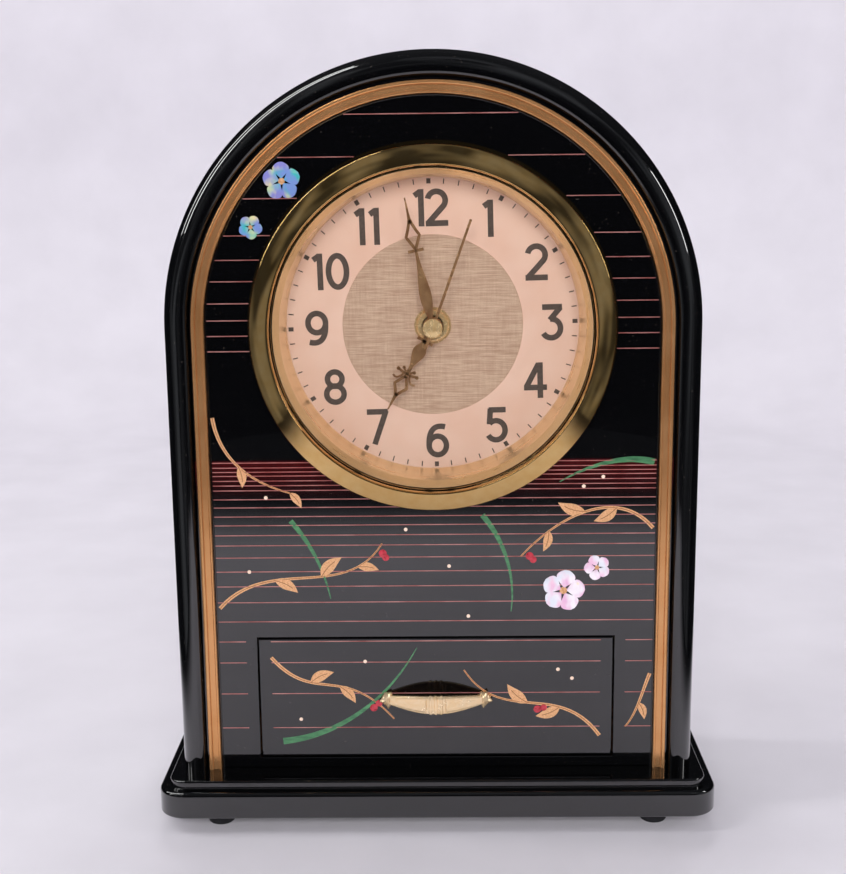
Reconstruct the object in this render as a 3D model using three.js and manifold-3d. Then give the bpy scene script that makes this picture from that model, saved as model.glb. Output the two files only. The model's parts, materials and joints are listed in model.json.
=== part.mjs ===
// Arched table clock with a drawer: case, base, bezel, dial, hands, quartz movement and drawer.
// Millimetres, +Z up, the dial faces -Y, and the origin is under the middle of the base.

import * as THREE from 'three';
import { mergeVertices } from 'three/addons/utils/BufferGeometryUtils.js';
import Module from 'manifold-3d';

const wasm = await Module();
wasm.setup();

// Case: an arched rim on straight legs, with a panel let into its front and a cover into its back
const CASE_HALF_WIDTH = 110;
const DIAL_HEIGHT = 190;
const CASE_DEPTH = 77.5;
const RIM_WIDTH = 10.7;
const RIM_PROUD = 2;
const RIM_ROUND = 8;
const SHOULDER_WIDTH = 5.3;
const PANEL_THICKNESS = 5;
const COVER_THICKNESS = 3;
const COVER_WINDOW = 76;
const COVER_WINDOW_CORNER = 8;
const BEAD_WIDTH = 5.2;
const BEAD_HEIGHT = 2.6;
const BEAD_GROOVE = 1.3;

// Base: a body with rounded corners, a low step on it and four feet under it
const BASE_SIDE = 8.5;
const BASE_FRONT = 18.5;
const BASE_BACK = 8;
const BASE_BODY_HEIGHT = 11.5;
const BASE_STEP_HEIGHT = 3.5;
const BASE_STEP_SETBACK = 4.5;
const BASE_CORNER = 12;
const BASE_ROUND = 2;
const FOOT_HEIGHT = 7;
const FOOT_RADIUS = 6.5;
const FOOT_TAPER = 0.8;
const FOOT_INSET = 25.5;
const FOOT_SETBACK = 14;

// Clearances
const FIT_GAP = 0.3;
const DRAWER_GAP = 0.6;
const RUNNING_GAP = 0.2;
const WHEEL_GAP = 0.3;

// Face: bezel, glass, reflector, dial and hands
const BEZEL_RADIUS = 75;
const BEZEL_FLANGE = 2.2;
const BEZEL_HEIGHT = 13;
const BEZEL_CREST_RADIUS = 65.8;
const BEZEL_FULLNESS = 0.35;
const BEZEL_TUBE_WALL = 1.7;
const LENS_RADIUS = 64.8;
const LENS_THICKNESS = 2;
const LENS_RECESS = 1;
const LENS_LIP = 1.2;
const DIAL_DEPTH = 12.5;
const DIAL_VISIBLE_RADIUS = 60.6;
const DIAL_THICKNESS = 0.8;
const DIAL_CENTRE_RADIUS = 37.3;
const DIAL_CENTRE_THICKNESS = 0.3;
const REFLECTOR_LIP = 0.9;
const RETAINER_WIDTH = 6.4;
const RETAINER_THICKNESS = 2;
const HAND_THICKNESS = 0.5;
const HAND_SPACING = 2;
const HAND_NECK_HALF = 0.9;
const HAND_TIP_HALF = 0.3;
const HAND_BAR_LENGTH = 1.3;
const HAND_STRIP = 1.2;
const HAND_HUB_WALL = 1.6;
const MINUTE_HAND_LENGTH = 53.5;
const MINUTE_LEAF_LENGTH = 32;
const MINUTE_LEAF_HALF = 2.1;
const MINUTE_BAR_HALF = 3.2;
const MINUTE_DIAMOND_LENGTH = 10;
const MINUTE_DIAMOND_HALF = 3.2;
const HOUR_HAND_LENGTH = 38.8;
const HOUR_ROOT_LENGTH = 5.9;
const HOUR_BAR_HALF = 3.5;
const HOUR_LEAF_LENGTH = 12.7;
const HOUR_LEAF_HALF = 2.6;
const HOUR_SCROLL_LENGTH = 3.4;
const HOUR_SCROLL_HALF = 4.6;
const HOUR_DIAMOND_LENGTH = 8.2;
const HOUR_DIAMOND_HALF = 3.3;
const SECOND_HAND_LENGTH = 46.5;
const SECOND_HAND_TAIL = 9;
const SECOND_HAND_WIDTH = 1.15;
const CAP_RADIUS = 4;
const CAP_HEIGHT = 1.6;
const HAND_NUT_RADIUS = 6.8;
const HAND_NUT_THICKNESS = 3;
const WASHER_RADIUS = 7.6;
const WASHER_THICKNESS = 0.4;

// Time shown at rest
const HOUR_AT_REST = 6;
const MINUTE_AT_REST = 58;
const SECOND_AT_REST = 3.3;

// Movement: a moulded case with a cell along its lower edge
const CELL_RADIUS = 7.25;
const CELL_LENGTH = 49.3;
const CELL_NUB_RADIUS = 2.6;
const CELL_NUB_LENGTH = 1.2;
const MOULDING_WALL = 1.5;
const MOVEMENT_TOP = 28;
const CONTACT_THICKNESS = 0.5;
const STEM_RADIUS = 4;
const STEM_LENGTH = 5.5;
const SECOND_ARBOR_RADIUS = 0.6;
const PIPE_WALL = 1;
const HOUR_PIPE_WALL = 0.6;
const ARBOR_RADIUS = 0.6;
const SETTING_ARBOR_RADIUS = 1.2;
const KNOB_RADIUS = 5;
const KNOB_HEIGHT = 4;
const KNOB_RIDGES = 18;
const KNOB_RIDGE_DEPTH = 0.35;
const WHEEL_THICKNESS = 0.8;
const PINION_THICKNESS = 1.3;
const PLATE_THICKNESS = 1;
const LEVEL_GAP = 0.35;
const MAGNET_RADIUS = 3.2;
const MAGNET_HEIGHT = 1.8;
const STATOR_WIDTH = 9.6;
const STATOR_THICKNESS = 0.8;
const STATOR_ARM_WIDTH = 2.6;
const COIL_LENGTH = 17;
const COIL_RADIUS = 3;
const COIL_FLANGE = 0.5;
const COIL_FLANGE_THICKNESS = 0.8;
const BOARD_WIDTH = 11;
const BOARD_HEIGHT = 24;
const BOARD_THICKNESS = 0.8;
const CRYSTAL_RADIUS = 1;
const CRYSTAL_LENGTH = 6;
const POST_RADIUS = 1.6;
const PILLAR_RADIUS = 1.1;
const THIRD_DISTANCE = 11.25;
const INTERMEDIATE_DISTANCE = 9;
const ROTOR_DISTANCE = 8.4;

// Drawer: a box behind a front that lies flush in the panel
const STILE_WIDTH = 23.5;
const RAIL_HEIGHT = 4.4;
const OPENING_HEIGHT = 54.5;
const DRAWER_FRONT_THICKNESS = 8;
const DRAWER_WALL = 5;
const DRAWER_BOX_INSET = 1;
const DRAWER_BOX_LIFT = 2;
const DRAWER_BOX_HEIGHT = 44;
const DRAWER_BACK_SPACE = 4;
const DRAWER_BOTTOM_THICKNESS = 3;
const LINING_THICKNESS = 1;
const SHELF_THICKNESS = 3.5;
const GUIDE_THICKNESS = 4;
const GUIDE_HEIGHT = 20;
const PULL_SPACING = 41;
const PULL_PROJECTION = 10;
const PULL_STRAP_HEIGHT = 7.9;
const PULL_STRAP_END_HEIGHT = 3.6;
const PULL_STRAP_THICKNESS = 2.4;
const PULL_ROSETTE_RADIUS = 4.3;
const PULL_ROSETTE_THICKNESS = 2.6;
const PULL_POST_RADIUS = 2.6;
const PULL_POST_LENGTH = 2.2;
const PULL_SCREW_GRIP = 2.4;

// Screws
const SCREW_RADIUS = 1.3;
const SCREW_HEAD_RADIUS = 2.8;
const SCREW_HEAD_HEIGHT = 1.5;
const SCREW_LENGTH = 9;
const COVER_SCREW_HEIGHT = 26;
const COVER_SCREW_ANGLE = Math.PI / 4;

// Fineness of round shapes
const ARCH_STEPS = 24;
const RING_STEPS = 48;
const ROD_STEPS = 16;
const PIVOT_STEPS = 10;

// Heights and depths that follow from the sizes above
const BASE_TOP = FOOT_HEIGHT + BASE_BODY_HEIGHT + BASE_STEP_HEIGHT;
const DIAL_Z = BASE_TOP + DIAL_HEIGHT;
const BASE_DEPTH = BASE_FRONT + CASE_DEPTH + BASE_BACK;
const PANEL_FRONT = BASE_FRONT - BASE_DEPTH / 2;
const PANEL_BACK = PANEL_FRONT + PANEL_THICKNESS;
const CASE_BACK = PANEL_FRONT + CASE_DEPTH;
const COVER_FRONT = CASE_BACK - COVER_THICKNESS;
const REBATE_RADIUS = CASE_HALF_WIDTH - RIM_WIDTH;
const SHOULDER_RADIUS = REBATE_RADIUS - SHOULDER_WIDTH;
const HAND_AXIS = new THREE.Vector3(0, 1, 0);

// Materials
function finish(color, roughness, metalness) {
  return new THREE.MeshStandardMaterial({ color, roughness, metalness });
}
const blackLacquer = finish(0x0b0a0b, 0.12, 0);
const gildedMetal = finish(0xd9b56a, 0.2, 1);
const brass = finish(0xb8924a, 0.3, 1);
const rubber = finish(0x1a1a1a, 0.8, 0);
const fibreboard = finish(0x4a3527, 0.85, 0);
const glass = finish(0xe8f0ee, 0.03, 0);
const creamPaint = finish(0xe9c6ab, 0.5, 0);
const brushedFoil = finish(0xa89878, 0.4, 1);
const steel = finish(0xb5b5b2, 0.35, 1);
const blackMoulding = finish(0x1c1c1e, 0.45, 0);
const whiteMoulding = finish(0xe6e4dc, 0.5, 0);
const magnetGrey = finish(0x3a3a3c, 0.5, 0.6);
const copper = finish(0xa5602f, 0.35, 1);
const boardGreen = finish(0x2c5a3a, 0.5, 0);
const cellWrap = finish(0x8d8f93, 0.4, 0.2);
const drawerWood = finish(0x3b2a1f, 0.6, 0);
const redFelt = finish(0x7a1420, 0.95, 0);

// Points on an arc, on a full circle and on the outline of the arch
function arc(x, y, radius, from, to, steps) {
  return Array.from({ length: steps + 1 }, (_, i) => {
    const angle = from + ((to - from) * i) / steps;
    return new THREE.Vector2(x + radius * Math.cos(angle), y + radius * Math.sin(angle));
  });
}
function circle(x, y, radius, steps) {
  return arc(x, y, radius, 0, 2 * Math.PI, steps).slice(0, -1);
}
function archOutline(halfWidth) {
  const leftFoot = new THREE.Vector2(-halfWidth, BASE_TOP);
  const rightFoot = new THREE.Vector2(halfWidth, BASE_TOP);
  return [leftFoot, ...arc(0, DIAL_Z, halfWidth, Math.PI, 0, ARCH_STEPS), rightFoot];
}
function rectangle(left, right, low, high) {
  return [[left, low], [right, low], [right, high], [left, high]].map(([x, y]) => new THREE.Vector2(x, y));
}
function roundedRectangle(halfWidth, halfHeight, corner, steps) {
  const x = halfWidth - corner;
  const y = halfHeight - corner;
  const quarter = Math.PI / 2;
  return [[x, y], [-x, y], [-x, -y], [x, -y]].flatMap(([cx, cy], i) =>
    arc(cx, cy, corner, i * quarter, (i + 1) * quarter, steps));
}

// Shared vertices are merged, slivers dropped and the faces turned outwards
function closed(geometry) {
  const bare = geometry.clone();
  bare.deleteAttribute('normal');
  bare.deleteAttribute('uv');
  const merged = mergeVertices(bare, 1e-4);
  const position = merged.attributes.position;
  const corners = [new THREE.Vector3(), new THREE.Vector3(), new THREE.Vector3()];
  const faces = [];
  let volume = 0;
  for (let i = 0; i < merged.index.count; i += 3) {
    const face = [0, 1, 2].map((k) => merged.index.getX(i + k));
    if (new Set(face).size === 3) {
      face.forEach((vertex, k) => corners[k].fromBufferAttribute(position, vertex));
      volume += corners[0].dot(corners[1].clone().cross(corners[2]));
      faces.push(face);
    }
  }
  const outward = volume > 0 ? faces : faces.map(([a, b, c]) => [a, c, b]);
  merged.setIndex(outward.flat());
  merged.computeVertexNormals();
  return merged;
}

// Joining and cutting of closed shapes
function toManifold(geometry) {
  const shape = closed(geometry);
  return new wasm.Manifold(new wasm.Mesh({
    numProp: 3,
    vertProperties: new Float32Array(shape.attributes.position.array),
    triVerts: new Uint32Array(shape.index.array),
  }));
}
function toGeometry(manifold) {
  const mesh = manifold.getMesh();
  const geometry = new THREE.BufferGeometry();
  geometry.setAttribute('position', new THREE.BufferAttribute(new Float32Array(mesh.vertProperties), 3));
  geometry.setIndex(Array.from(mesh.triVerts));
  return geometry;
}
function joined(...shapes) {
  const [first, ...rest] = shapes.map(toManifold);
  return toGeometry(rest.reduce((whole, shape) => whole.add(shape), first));
}
function cut(base, ...tools) {
  return toGeometry(tools.map(toManifold).reduce((whole, tool) => whole.subtract(tool), toManifold(base)));
}

// A plate with an outline in X and Z, from one depth to another
function plate(outline, front, back, holes = []) {
  const shape = new THREE.Shape(outline);
  shape.holes = holes.map((hole) => new THREE.Path(hole));
  const geometry = new THREE.ExtrudeGeometry(shape, { depth: back - front, bevelEnabled: false });
  return geometry.rotateX(Math.PI / 2).translate(0, back, 0);
}
// A round bar along Y
function bar(x, z, radius, front, back, steps = PIVOT_STEPS) {
  return plate(circle(x, z, radius, steps), front, back);
}
// A box between two corners
function block([x0, y0, z0], [x1, y1, z1]) {
  return new THREE.BoxGeometry(x1 - x0, y1 - y0, z1 - z0)
    .translate((x0 + x1) / 2, (y0 + y1) / 2, (z0 + z1) / 2);
}
// A shape turned about the Y axis from [radius, depth] points
function turned(profile, steps = RING_STEPS) {
  const points = profile.map(([radius, depth]) => new THREE.Vector2(radius, depth));
  return new THREE.LatheGeometry(points, steps);
}
function turnedRing(inner, outer, front, back, steps = RING_STEPS) {
  return turned([[inner, front], [outer, front], [outer, back], [inner, back], [inner, front]], steps);
}

// A skin over rings of points, with flat caps on the first and the last ring
function loft(rings) {
  const count = rings[0].length;
  const index = [];
  for (let r = 0; r < rings.length - 1; r += 1) {
    for (let i = 0; i < count; i += 1) {
      const a = r * count + i;
      const b = r * count + ((i + 1) % count);
      index.push(a, b, a + count, b, b + count, a + count);
    }
  }
  index.push(...cap(rings[0], 0, false));
  index.push(...cap(rings[rings.length - 1], (rings.length - 1) * count, true));
  const geometry = new THREE.BufferGeometry();
  const positions = rings.flat().flatMap((point) => point.toArray());
  geometry.setAttribute('position', new THREE.Float32BufferAttribute(positions, 3));
  geometry.setIndex(index);
  return geometry;
}
function cap(ring, offset, forward) {
  const size = new THREE.Box3().setFromPoints(ring).getSize(new THREE.Vector3());
  const thin = Math.min(size.x, size.y, size.z);
  const axes = ['x', 'y', 'z'].filter((axis) => axis !== ['x', 'y', 'z'].find((name) => size[name] === thin));
  const flat = ring.map((point) => new THREE.Vector2(point[axes[0]], point[axes[1]]));
  const faces = THREE.ShapeUtils.triangulateShape(flat, []);
  const follows = faces.some((face) => face.some((vertex, k) => face[(k + 1) % 3] === (vertex + 1) % ring.length));
  return faces.flatMap(([a, b, c]) => (follows === forward ? [a, b, c] : [a, c, b])).map((v) => v + offset);
}
// A section of [radius, depth] points carried up one leg, round the arch and down the other
function archSweep(section) {
  const angles = arc(0, 0, 1, Math.PI, 0, ARCH_STEPS);
  const leftFoot = section.map(([radius, depth]) => new THREE.Vector3(-radius, depth, BASE_TOP));
  const rightFoot = section.map(([radius, depth]) => new THREE.Vector3(radius, depth, BASE_TOP));
  const bows = angles.map((angle) => section.map(([radius, depth]) =>
    new THREE.Vector3(radius * angle.x, depth, DIAL_Z + radius * angle.y)));
  return loft([leftFoot, ...bows, rightFoot]);
}

const clock = new THREE.Group();
const face = new THREE.Group();
face.position.z = DIAL_Z;
clock.add(face);

function add(parent, name, geometry, material) {
  const mesh = new THREE.Mesh(closed(geometry), material);
  mesh.name = name;
  parent.add(mesh);
  return mesh;
}

// Where the cover's screws go: two in the arch and two in the legs
const screwRadius = (REBATE_RADIUS + SHOULDER_RADIUS) / 2 - FIT_GAP;
const screwArchX = screwRadius * Math.sin(COVER_SCREW_ANGLE);
const screwArchZ = DIAL_Z + screwRadius * Math.cos(COVER_SCREW_ANGLE);
const screwLegZ = BASE_TOP + COVER_SCREW_HEIGHT;
const coverScrews = [
  [-screwArchX, screwArchZ], [screwArchX, screwArchZ], [-screwRadius, screwLegZ], [screwRadius, screwLegZ],
];
const screwHole = SCREW_RADIUS + FIT_GAP;

// Case shell, with rebates in front and behind and a pilot hole for each screw
function caseShell() {
  const front = PANEL_FRONT - RIM_PROUD;
  const round = arc(CASE_HALF_WIDTH - RIM_ROUND, front + RIM_ROUND, RIM_ROUND, 0, -Math.PI / 2, 6);
  const section = [
    [CASE_HALF_WIDTH, CASE_BACK],
    ...round.map((point) => [point.x, point.y]),
    [REBATE_RADIUS, front],
    [REBATE_RADIUS, PANEL_BACK],
    [SHOULDER_RADIUS, PANEL_BACK],
    [SHOULDER_RADIUS, COVER_FRONT],
    [REBATE_RADIUS, COVER_FRONT],
    [REBATE_RADIUS, CASE_BACK],
  ];
  const depth = CASE_BACK - SCREW_LENGTH - FIT_GAP;
  const pilots = coverScrews.map(([x, z]) => bar(x, z, screwHole, depth, CASE_BACK + 1));
  return cut(archSweep(section), ...pilots);
}
add(clock, 'case_shell', caseShell(), blackLacquer);

// Front panel, with the round hole for the bezel's tube and the drawer's opening
const tubeRadius = BEZEL_CREST_RADIUS + FIT_GAP;
const openingHalfWidth = REBATE_RADIUS - STILE_WIDTH;
const openingLow = BASE_TOP + RAIL_HEIGHT;
const openingHigh = openingLow + OPENING_HEIGHT;
function frontPanel() {
  const holes = [
    circle(0, DIAL_Z, tubeRadius + FIT_GAP, RING_STEPS),
    rectangle(-openingHalfWidth, openingHalfWidth, openingLow, openingHigh),
  ];
  return plate(archOutline(REBATE_RADIUS - FIT_GAP), PANEL_FRONT, PANEL_BACK, holes);
}
add(clock, 'front_panel', frontPanel(), blackLacquer);

// Half-round bead on the panel, just inside the rim
function trimBead() {
  const middle = REBATE_RADIUS - BEAD_GROOVE - BEAD_WIDTH / 2;
  const half = arc(0, 0, 1, 0, -Math.PI, 8);
  const section = half.map((point) => [middle + (point.x * BEAD_WIDTH) / 2, PANEL_FRONT + point.y * BEAD_HEIGHT]);
  return archSweep(section);
}
add(clock, 'trim_bead', trimBead(), gildedMetal);

// Base, built up from rounded outlines
function basePlinth() {
  const halfWidth = CASE_HALF_WIDTH + BASE_SIDE;
  const halfDepth = BASE_DEPTH / 2;
  const bodyTop = FOOT_HEIGHT + BASE_BODY_HEIGHT;
  const ring = (inset, z) => roundedRectangle(halfWidth - inset, halfDepth - inset, BASE_CORNER - inset, 5)
    .map((point) => new THREE.Vector3(point.x, point.y, z));
  const rounding = (inset, top, radius) => arc(0, 0, radius, 0, Math.PI / 2, 3)
    .map((point) => ring(inset + radius - point.x, top - radius + point.y));
  return loft([
    ring(BASE_ROUND / 2, FOOT_HEIGHT),
    ring(0, FOOT_HEIGHT + BASE_ROUND / 2),
    ...rounding(0, bodyTop, BASE_ROUND),
    ring(BASE_STEP_SETBACK, bodyTop),
    ...rounding(BASE_STEP_SETBACK, BASE_TOP, BASE_ROUND / 2),
  ]);
}
add(clock, 'base_plinth', basePlinth(), blackLacquer);

// Feet, one near each corner of the base
const footX = CASE_HALF_WIDTH + BASE_SIDE - FOOT_INSET;
const footY = BASE_DEPTH / 2 - FOOT_SETBACK;
for (const [side, x] of [['left', -footX], ['right', footX]]) {
  for (const [end, y] of [['front', -footY], ['back', footY]]) {
    const foot = new THREE.CylinderGeometry(FOOT_RADIUS, FOOT_RADIUS - FOOT_TAPER, FOOT_HEIGHT, ROD_STEPS);
    foot.rotateX(Math.PI / 2).translate(0, 0, FOOT_HEIGHT / 2);
    add(clock, `foot_${end}_${side}`, foot, rubber).position.set(x, y, 0);
  }
}

// Rear cover, with a window to reach the movement, and its four screws
function rearCover() {
  const window = roundedRectangle(COVER_WINDOW / 2, COVER_WINDOW / 2, COVER_WINDOW_CORNER, 4);
  const holes = coverScrews.map(([x, z]) => circle(x, z, screwHole, PIVOT_STEPS));
  holes.push(window.map((point) => new THREE.Vector2(point.x, point.y + DIAL_Z)));
  return plate(archOutline(REBATE_RADIUS - FIT_GAP), COVER_FRONT, CASE_BACK, holes);
}
add(clock, 'rear_cover', rearCover(), fibreboard);

// A pan-head screw along Y: its head lies at the seat, and its tip points forwards from there
function screw(length) {
  return turned([
    [0, -length], [SCREW_RADIUS, -length + SCREW_RADIUS], [SCREW_RADIUS, 0], [SCREW_HEAD_RADIUS, 0],
    [SCREW_HEAD_RADIUS, SCREW_HEAD_HEIGHT / 2], [SCREW_HEAD_RADIUS - SCREW_HEAD_HEIGHT / 2, SCREW_HEAD_HEIGHT],
    [0, SCREW_HEAD_HEIGHT],
  ], PIVOT_STEPS);
}
coverScrews.forEach(([x, z], i) => {
  add(clock, `rear_cover_screw_${i + 1}`, screw(SCREW_LENGTH), steel).position.set(x, CASE_BACK, z);
});

// Bezel: a bright ring on the panel, with a tube through it that holds the lens, reflector and dial
const lensBack = PANEL_FRONT - BEZEL_HEIGHT + LENS_RECESS + LENS_THICKNESS;
const lensSeat = LENS_RADIUS + FIT_GAP;
const tubeBore = tubeRadius - BEZEL_TUBE_WALL;
const lipRadius = LENS_RADIUS - REFLECTOR_LIP;
const lipBack = lensBack + LENS_LIP;
const dialFront = PANEL_FRONT + DIAL_DEPTH;
const dialBack = dialFront + DIAL_THICKNESS;
const tubeBack = dialBack + RETAINER_THICKNESS;
function bezelRing() {
  const crestFront = PANEL_FRONT - BEZEL_HEIGHT;
  const crestRound = lensSeat - BEZEL_CREST_RADIUS;
  const flangeFront = PANEL_FRONT - BEZEL_FLANGE;
  const bandWidth = BEZEL_RADIUS - BEZEL_FLANGE / 2 - BEZEL_CREST_RADIUS;
  const bandHeight = flangeFront - crestFront - BEZEL_FLANGE / 4;
  const band = arc(0, 0, 1, 0, -Math.PI / 2, 6).map((point) => [
    BEZEL_CREST_RADIUS + bandWidth * point.x * (1 + BEZEL_FULLNESS * (1 - point.x ** 2)),
    crestFront + bandHeight * (1 + point.y),
  ]);
  return turned([
    [BEZEL_RADIUS, PANEL_FRONT],
    [BEZEL_RADIUS, flangeFront],
    [BEZEL_RADIUS - BEZEL_FLANGE / 4, flangeFront - BEZEL_FLANGE / 4],
    ...band,
    [BEZEL_CREST_RADIUS + crestRound, crestFront - crestRound],
    [lensSeat, lensBack],
    [lipRadius, lensBack],
    [lipRadius, lipBack],
    [tubeBore, lipBack],
    [tubeBore, tubeBack],
    [tubeRadius, tubeBack],
    [tubeRadius, PANEL_FRONT],
    [BEZEL_RADIUS, PANEL_FRONT],
  ]);
}
add(face, 'bezel_ring', bezelRing(), gildedMetal);

// Spring ring that grips the tube behind the panel
const gripRadius = tubeRadius + FIT_GAP;
add(face, 'bezel_retainer', turnedRing(gripRadius, gripRadius + RETAINER_WIDTH, PANEL_BACK,
  PANEL_BACK + RETAINER_THICKNESS), steel);

// Lens, reflector, dial, applied dial centre and the ring that holds them in the tube
const insideTube = tubeBore - FIT_GAP;
const lensFront = lensBack - LENS_THICKNESS;
add(face, 'lens', bar(0, 0, LENS_RADIUS, lensFront, lensBack, RING_STEPS), glass);
add(face, 'reflector_ring', turned([
  [lipRadius - FIT_GAP, lipBack], [insideTube, lipBack], [insideTube, dialFront],
  [DIAL_VISIBLE_RADIUS, dialFront], [lipRadius - FIT_GAP, lipBack],
]), gildedMetal);
const stemHole = STEM_RADIUS + FIT_GAP;
add(face, 'dial_plate', turnedRing(stemHole, insideTube, dialFront, dialBack), creamPaint);
const centreFront = dialFront - DIAL_CENTRE_THICKNESS;
add(face, 'dial_centre', turnedRing(stemHole, DIAL_CENTRE_RADIUS, centreFront, dialFront), brushedFoil);
add(face, 'dial_retainer', turnedRing(insideTube - RETAINER_WIDTH, insideTube, dialBack, tubeBack), steel);

// Washer and round nut that clamp the movement's stem to the dial
const washerFront = centreFront - WASHER_THICKNESS;
const nutFront = washerFront - HAND_NUT_THICKNESS;
add(face, 'hand_washer', turnedRing(stemHole, WASHER_RADIUS, washerFront, centreFront, 24), brass);
add(face, 'hand_nut', turned([
  [stemHole, washerFront], [HAND_NUT_RADIUS, washerFront], [HAND_NUT_RADIUS, nutFront + HAND_NUT_THICKNESS / 3],
  [HAND_NUT_RADIUS - HAND_NUT_THICKNESS / 3, nutFront], [stemHole, nutFront], [stemHole, washerFront],
], 24), brass);

// Depths of the hands, from the stem's end outwards
const stemFront = dialFront - Math.max(STEM_LENGTH, dialFront - nutFront + RUNNING_GAP);
const hourHandBack = stemFront - HAND_SPACING / 2;
const hourHandFront = hourHandBack - HAND_THICKNESS;
const minuteHandBack = hourHandFront - HAND_SPACING;
const minuteHandFront = minuteHandBack - HAND_THICKNESS;
const secondHandBack = minuteHandFront - HAND_SPACING;
const secondHandFront = secondHandBack - HAND_THICKNESS;
const secondArborFront = secondHandFront;
const minuteBore = SECOND_ARBOR_RADIUS + RUNNING_GAP;
const minutePipe = minuteBore + PIPE_WALL;
const hourBore = minutePipe + RUNNING_GAP;
const hourPipe = hourBore + HOUR_PIPE_WALL;
const stemBore = hourPipe + RUNNING_GAP;

// A hand that points to twelve, from its half widths [distance from the axis, half width]
function handOutline(halfWidths) {
  const right = halfWidths.map(([distance, half]) => new THREE.Vector2(half, distance));
  const left = halfWidths.map(([distance, half]) => new THREE.Vector2(-half, distance)).reverse();
  return [...right, ...left];
}
function hubbed(outline, holes, pipe, front, back) {
  const blade = plate(outline, front, back, holes);
  const hub = bar(0, 0, pipe + HAND_HUB_WALL, front, back, ROD_STEPS);
  return cut(joined(blade, hub), bar(0, 0, pipe + FIT_GAP / 3, front - 1, back + 1, ROD_STEPS));
}
// The forms along a hand, as half widths: a leaf, a crossbar, a pair of scrolls and a diamond
const DIAMOND_WAIST = 0.45;
const leafForm = (start, length, half) => [
  [start, HAND_NECK_HALF], [start + length / 2, half], [start + length, HAND_NECK_HALF],
];
const barForm = (start, half) => [[start, half], [start + HAND_BAR_LENGTH, half]];
const scrollForm = (start, length, half) => [
  [start + length * 0.25, half * 0.6], [start + length * 0.5, half * 0.95], [start + length * 0.9, half],
  [start + length * 1.1, half * 0.7],
];
const diamondForm = (start, length, half) => [
  [start, HAND_NECK_HALF], [start + length * DIAMOND_WAIST, half], [start + length, HAND_NECK_HALF],
];
function diamondWindow(start, length, half) {
  const low = start + HAND_STRIP;
  const high = start + length - HAND_STRIP;
  const side = half - HAND_STRIP;
  const waist = low + (high - low) * DIAMOND_WAIST;
  return [[0, low], [side, waist], [0, high], [-side, waist]].map(([x, z]) => new THREE.Vector2(x, z));
}

// Minute hand: a leaf blade, a crossbar, an open diamond and a thin tip
function minuteHand() {
  const diamondAt = MINUTE_LEAF_LENGTH + HAND_BAR_LENGTH;
  const outline = handOutline([
    ...leafForm(0, MINUTE_LEAF_LENGTH, MINUTE_LEAF_HALF),
    ...barForm(MINUTE_LEAF_LENGTH, MINUTE_BAR_HALF),
    ...diamondForm(diamondAt, MINUTE_DIAMOND_LENGTH, MINUTE_DIAMOND_HALF),
    [MINUTE_HAND_LENGTH, HAND_TIP_HALF],
  ]);
  const window = diamondWindow(diamondAt, MINUTE_DIAMOND_LENGTH, MINUTE_DIAMOND_HALF);
  return hubbed(outline, [window], minutePipe, minuteHandFront, minuteHandBack);
}
// Hour hand: a crossbar at its root, a broad leaf, two side scrolls, an open diamond and a tip
function hourHand() {
  const leafAt = HOUR_ROOT_LENGTH + HAND_BAR_LENGTH;
  const scrollAt = leafAt + HOUR_LEAF_LENGTH;
  const diamondAt = scrollAt + HOUR_SCROLL_LENGTH;
  const outline = handOutline([
    [0, HAND_NECK_HALF], [HOUR_ROOT_LENGTH, HAND_NECK_HALF],
    ...barForm(HOUR_ROOT_LENGTH, HOUR_BAR_HALF),
    ...leafForm(leafAt, HOUR_LEAF_LENGTH, HOUR_LEAF_HALF),
    ...scrollForm(scrollAt, HOUR_SCROLL_LENGTH, HOUR_SCROLL_HALF),
    ...diamondForm(diamondAt, HOUR_DIAMOND_LENGTH, HOUR_DIAMOND_HALF),
    [HOUR_HAND_LENGTH, HAND_TIP_HALF],
  ]);
  const window = diamondWindow(diamondAt, HOUR_DIAMOND_LENGTH, HOUR_DIAMOND_HALF);
  return hubbed(outline, [window], hourPipe, hourHandFront, hourHandBack);
}
// Second hand: a plain stick with a tail, and the domed cap on its hub
function secondHand() {
  const half = SECOND_HAND_WIDTH / 2;
  const outline = handOutline([[-SECOND_HAND_TAIL, half], [0, half], [SECOND_HAND_LENGTH, half * 0.85]]);
  const stick = plate(outline, secondHandFront, secondHandBack);
  const capFront = secondHandFront - CAP_HEIGHT;
  const dome = turned([
    [0, secondHandBack], [CAP_RADIUS, secondHandBack], [CAP_RADIUS, secondHandFront],
    ...arc(0, 0, 1, 0, -Math.PI / 2, 4).slice(1, -1).map((point) => [
      CAP_RADIUS * point.x, secondHandFront + CAP_HEIGHT * point.y,
    ]),
    [0, capFront],
  ], 24);
  const socket = bar(0, 0, SECOND_ARBOR_RADIUS + FIT_GAP / 3, secondArborFront - FIT_GAP, secondHandBack + 1);
  return cut(joined(stick, dome), socket);
}
const minutesShown = MINUTE_AT_REST + SECOND_AT_REST / 60;
const turnOf = {
  second: (SECOND_AT_REST / 60) * 2 * Math.PI,
  minute: (minutesShown / 60) * 2 * Math.PI,
  hour: ((HOUR_AT_REST + minutesShown / 60) / 12) * 2 * Math.PI,
};
add(face, 'hour_hand', hourHand(), brass).setRotationFromAxisAngle(HAND_AXIS, turnOf.hour);
add(face, 'minute_hand', minuteHand(), brass).setRotationFromAxisAngle(HAND_AXIS, turnOf.minute);
add(face, 'second_hand', secondHand(), brass).setRotationFromAxisAngle(HAND_AXIS, turnOf.second);

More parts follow.
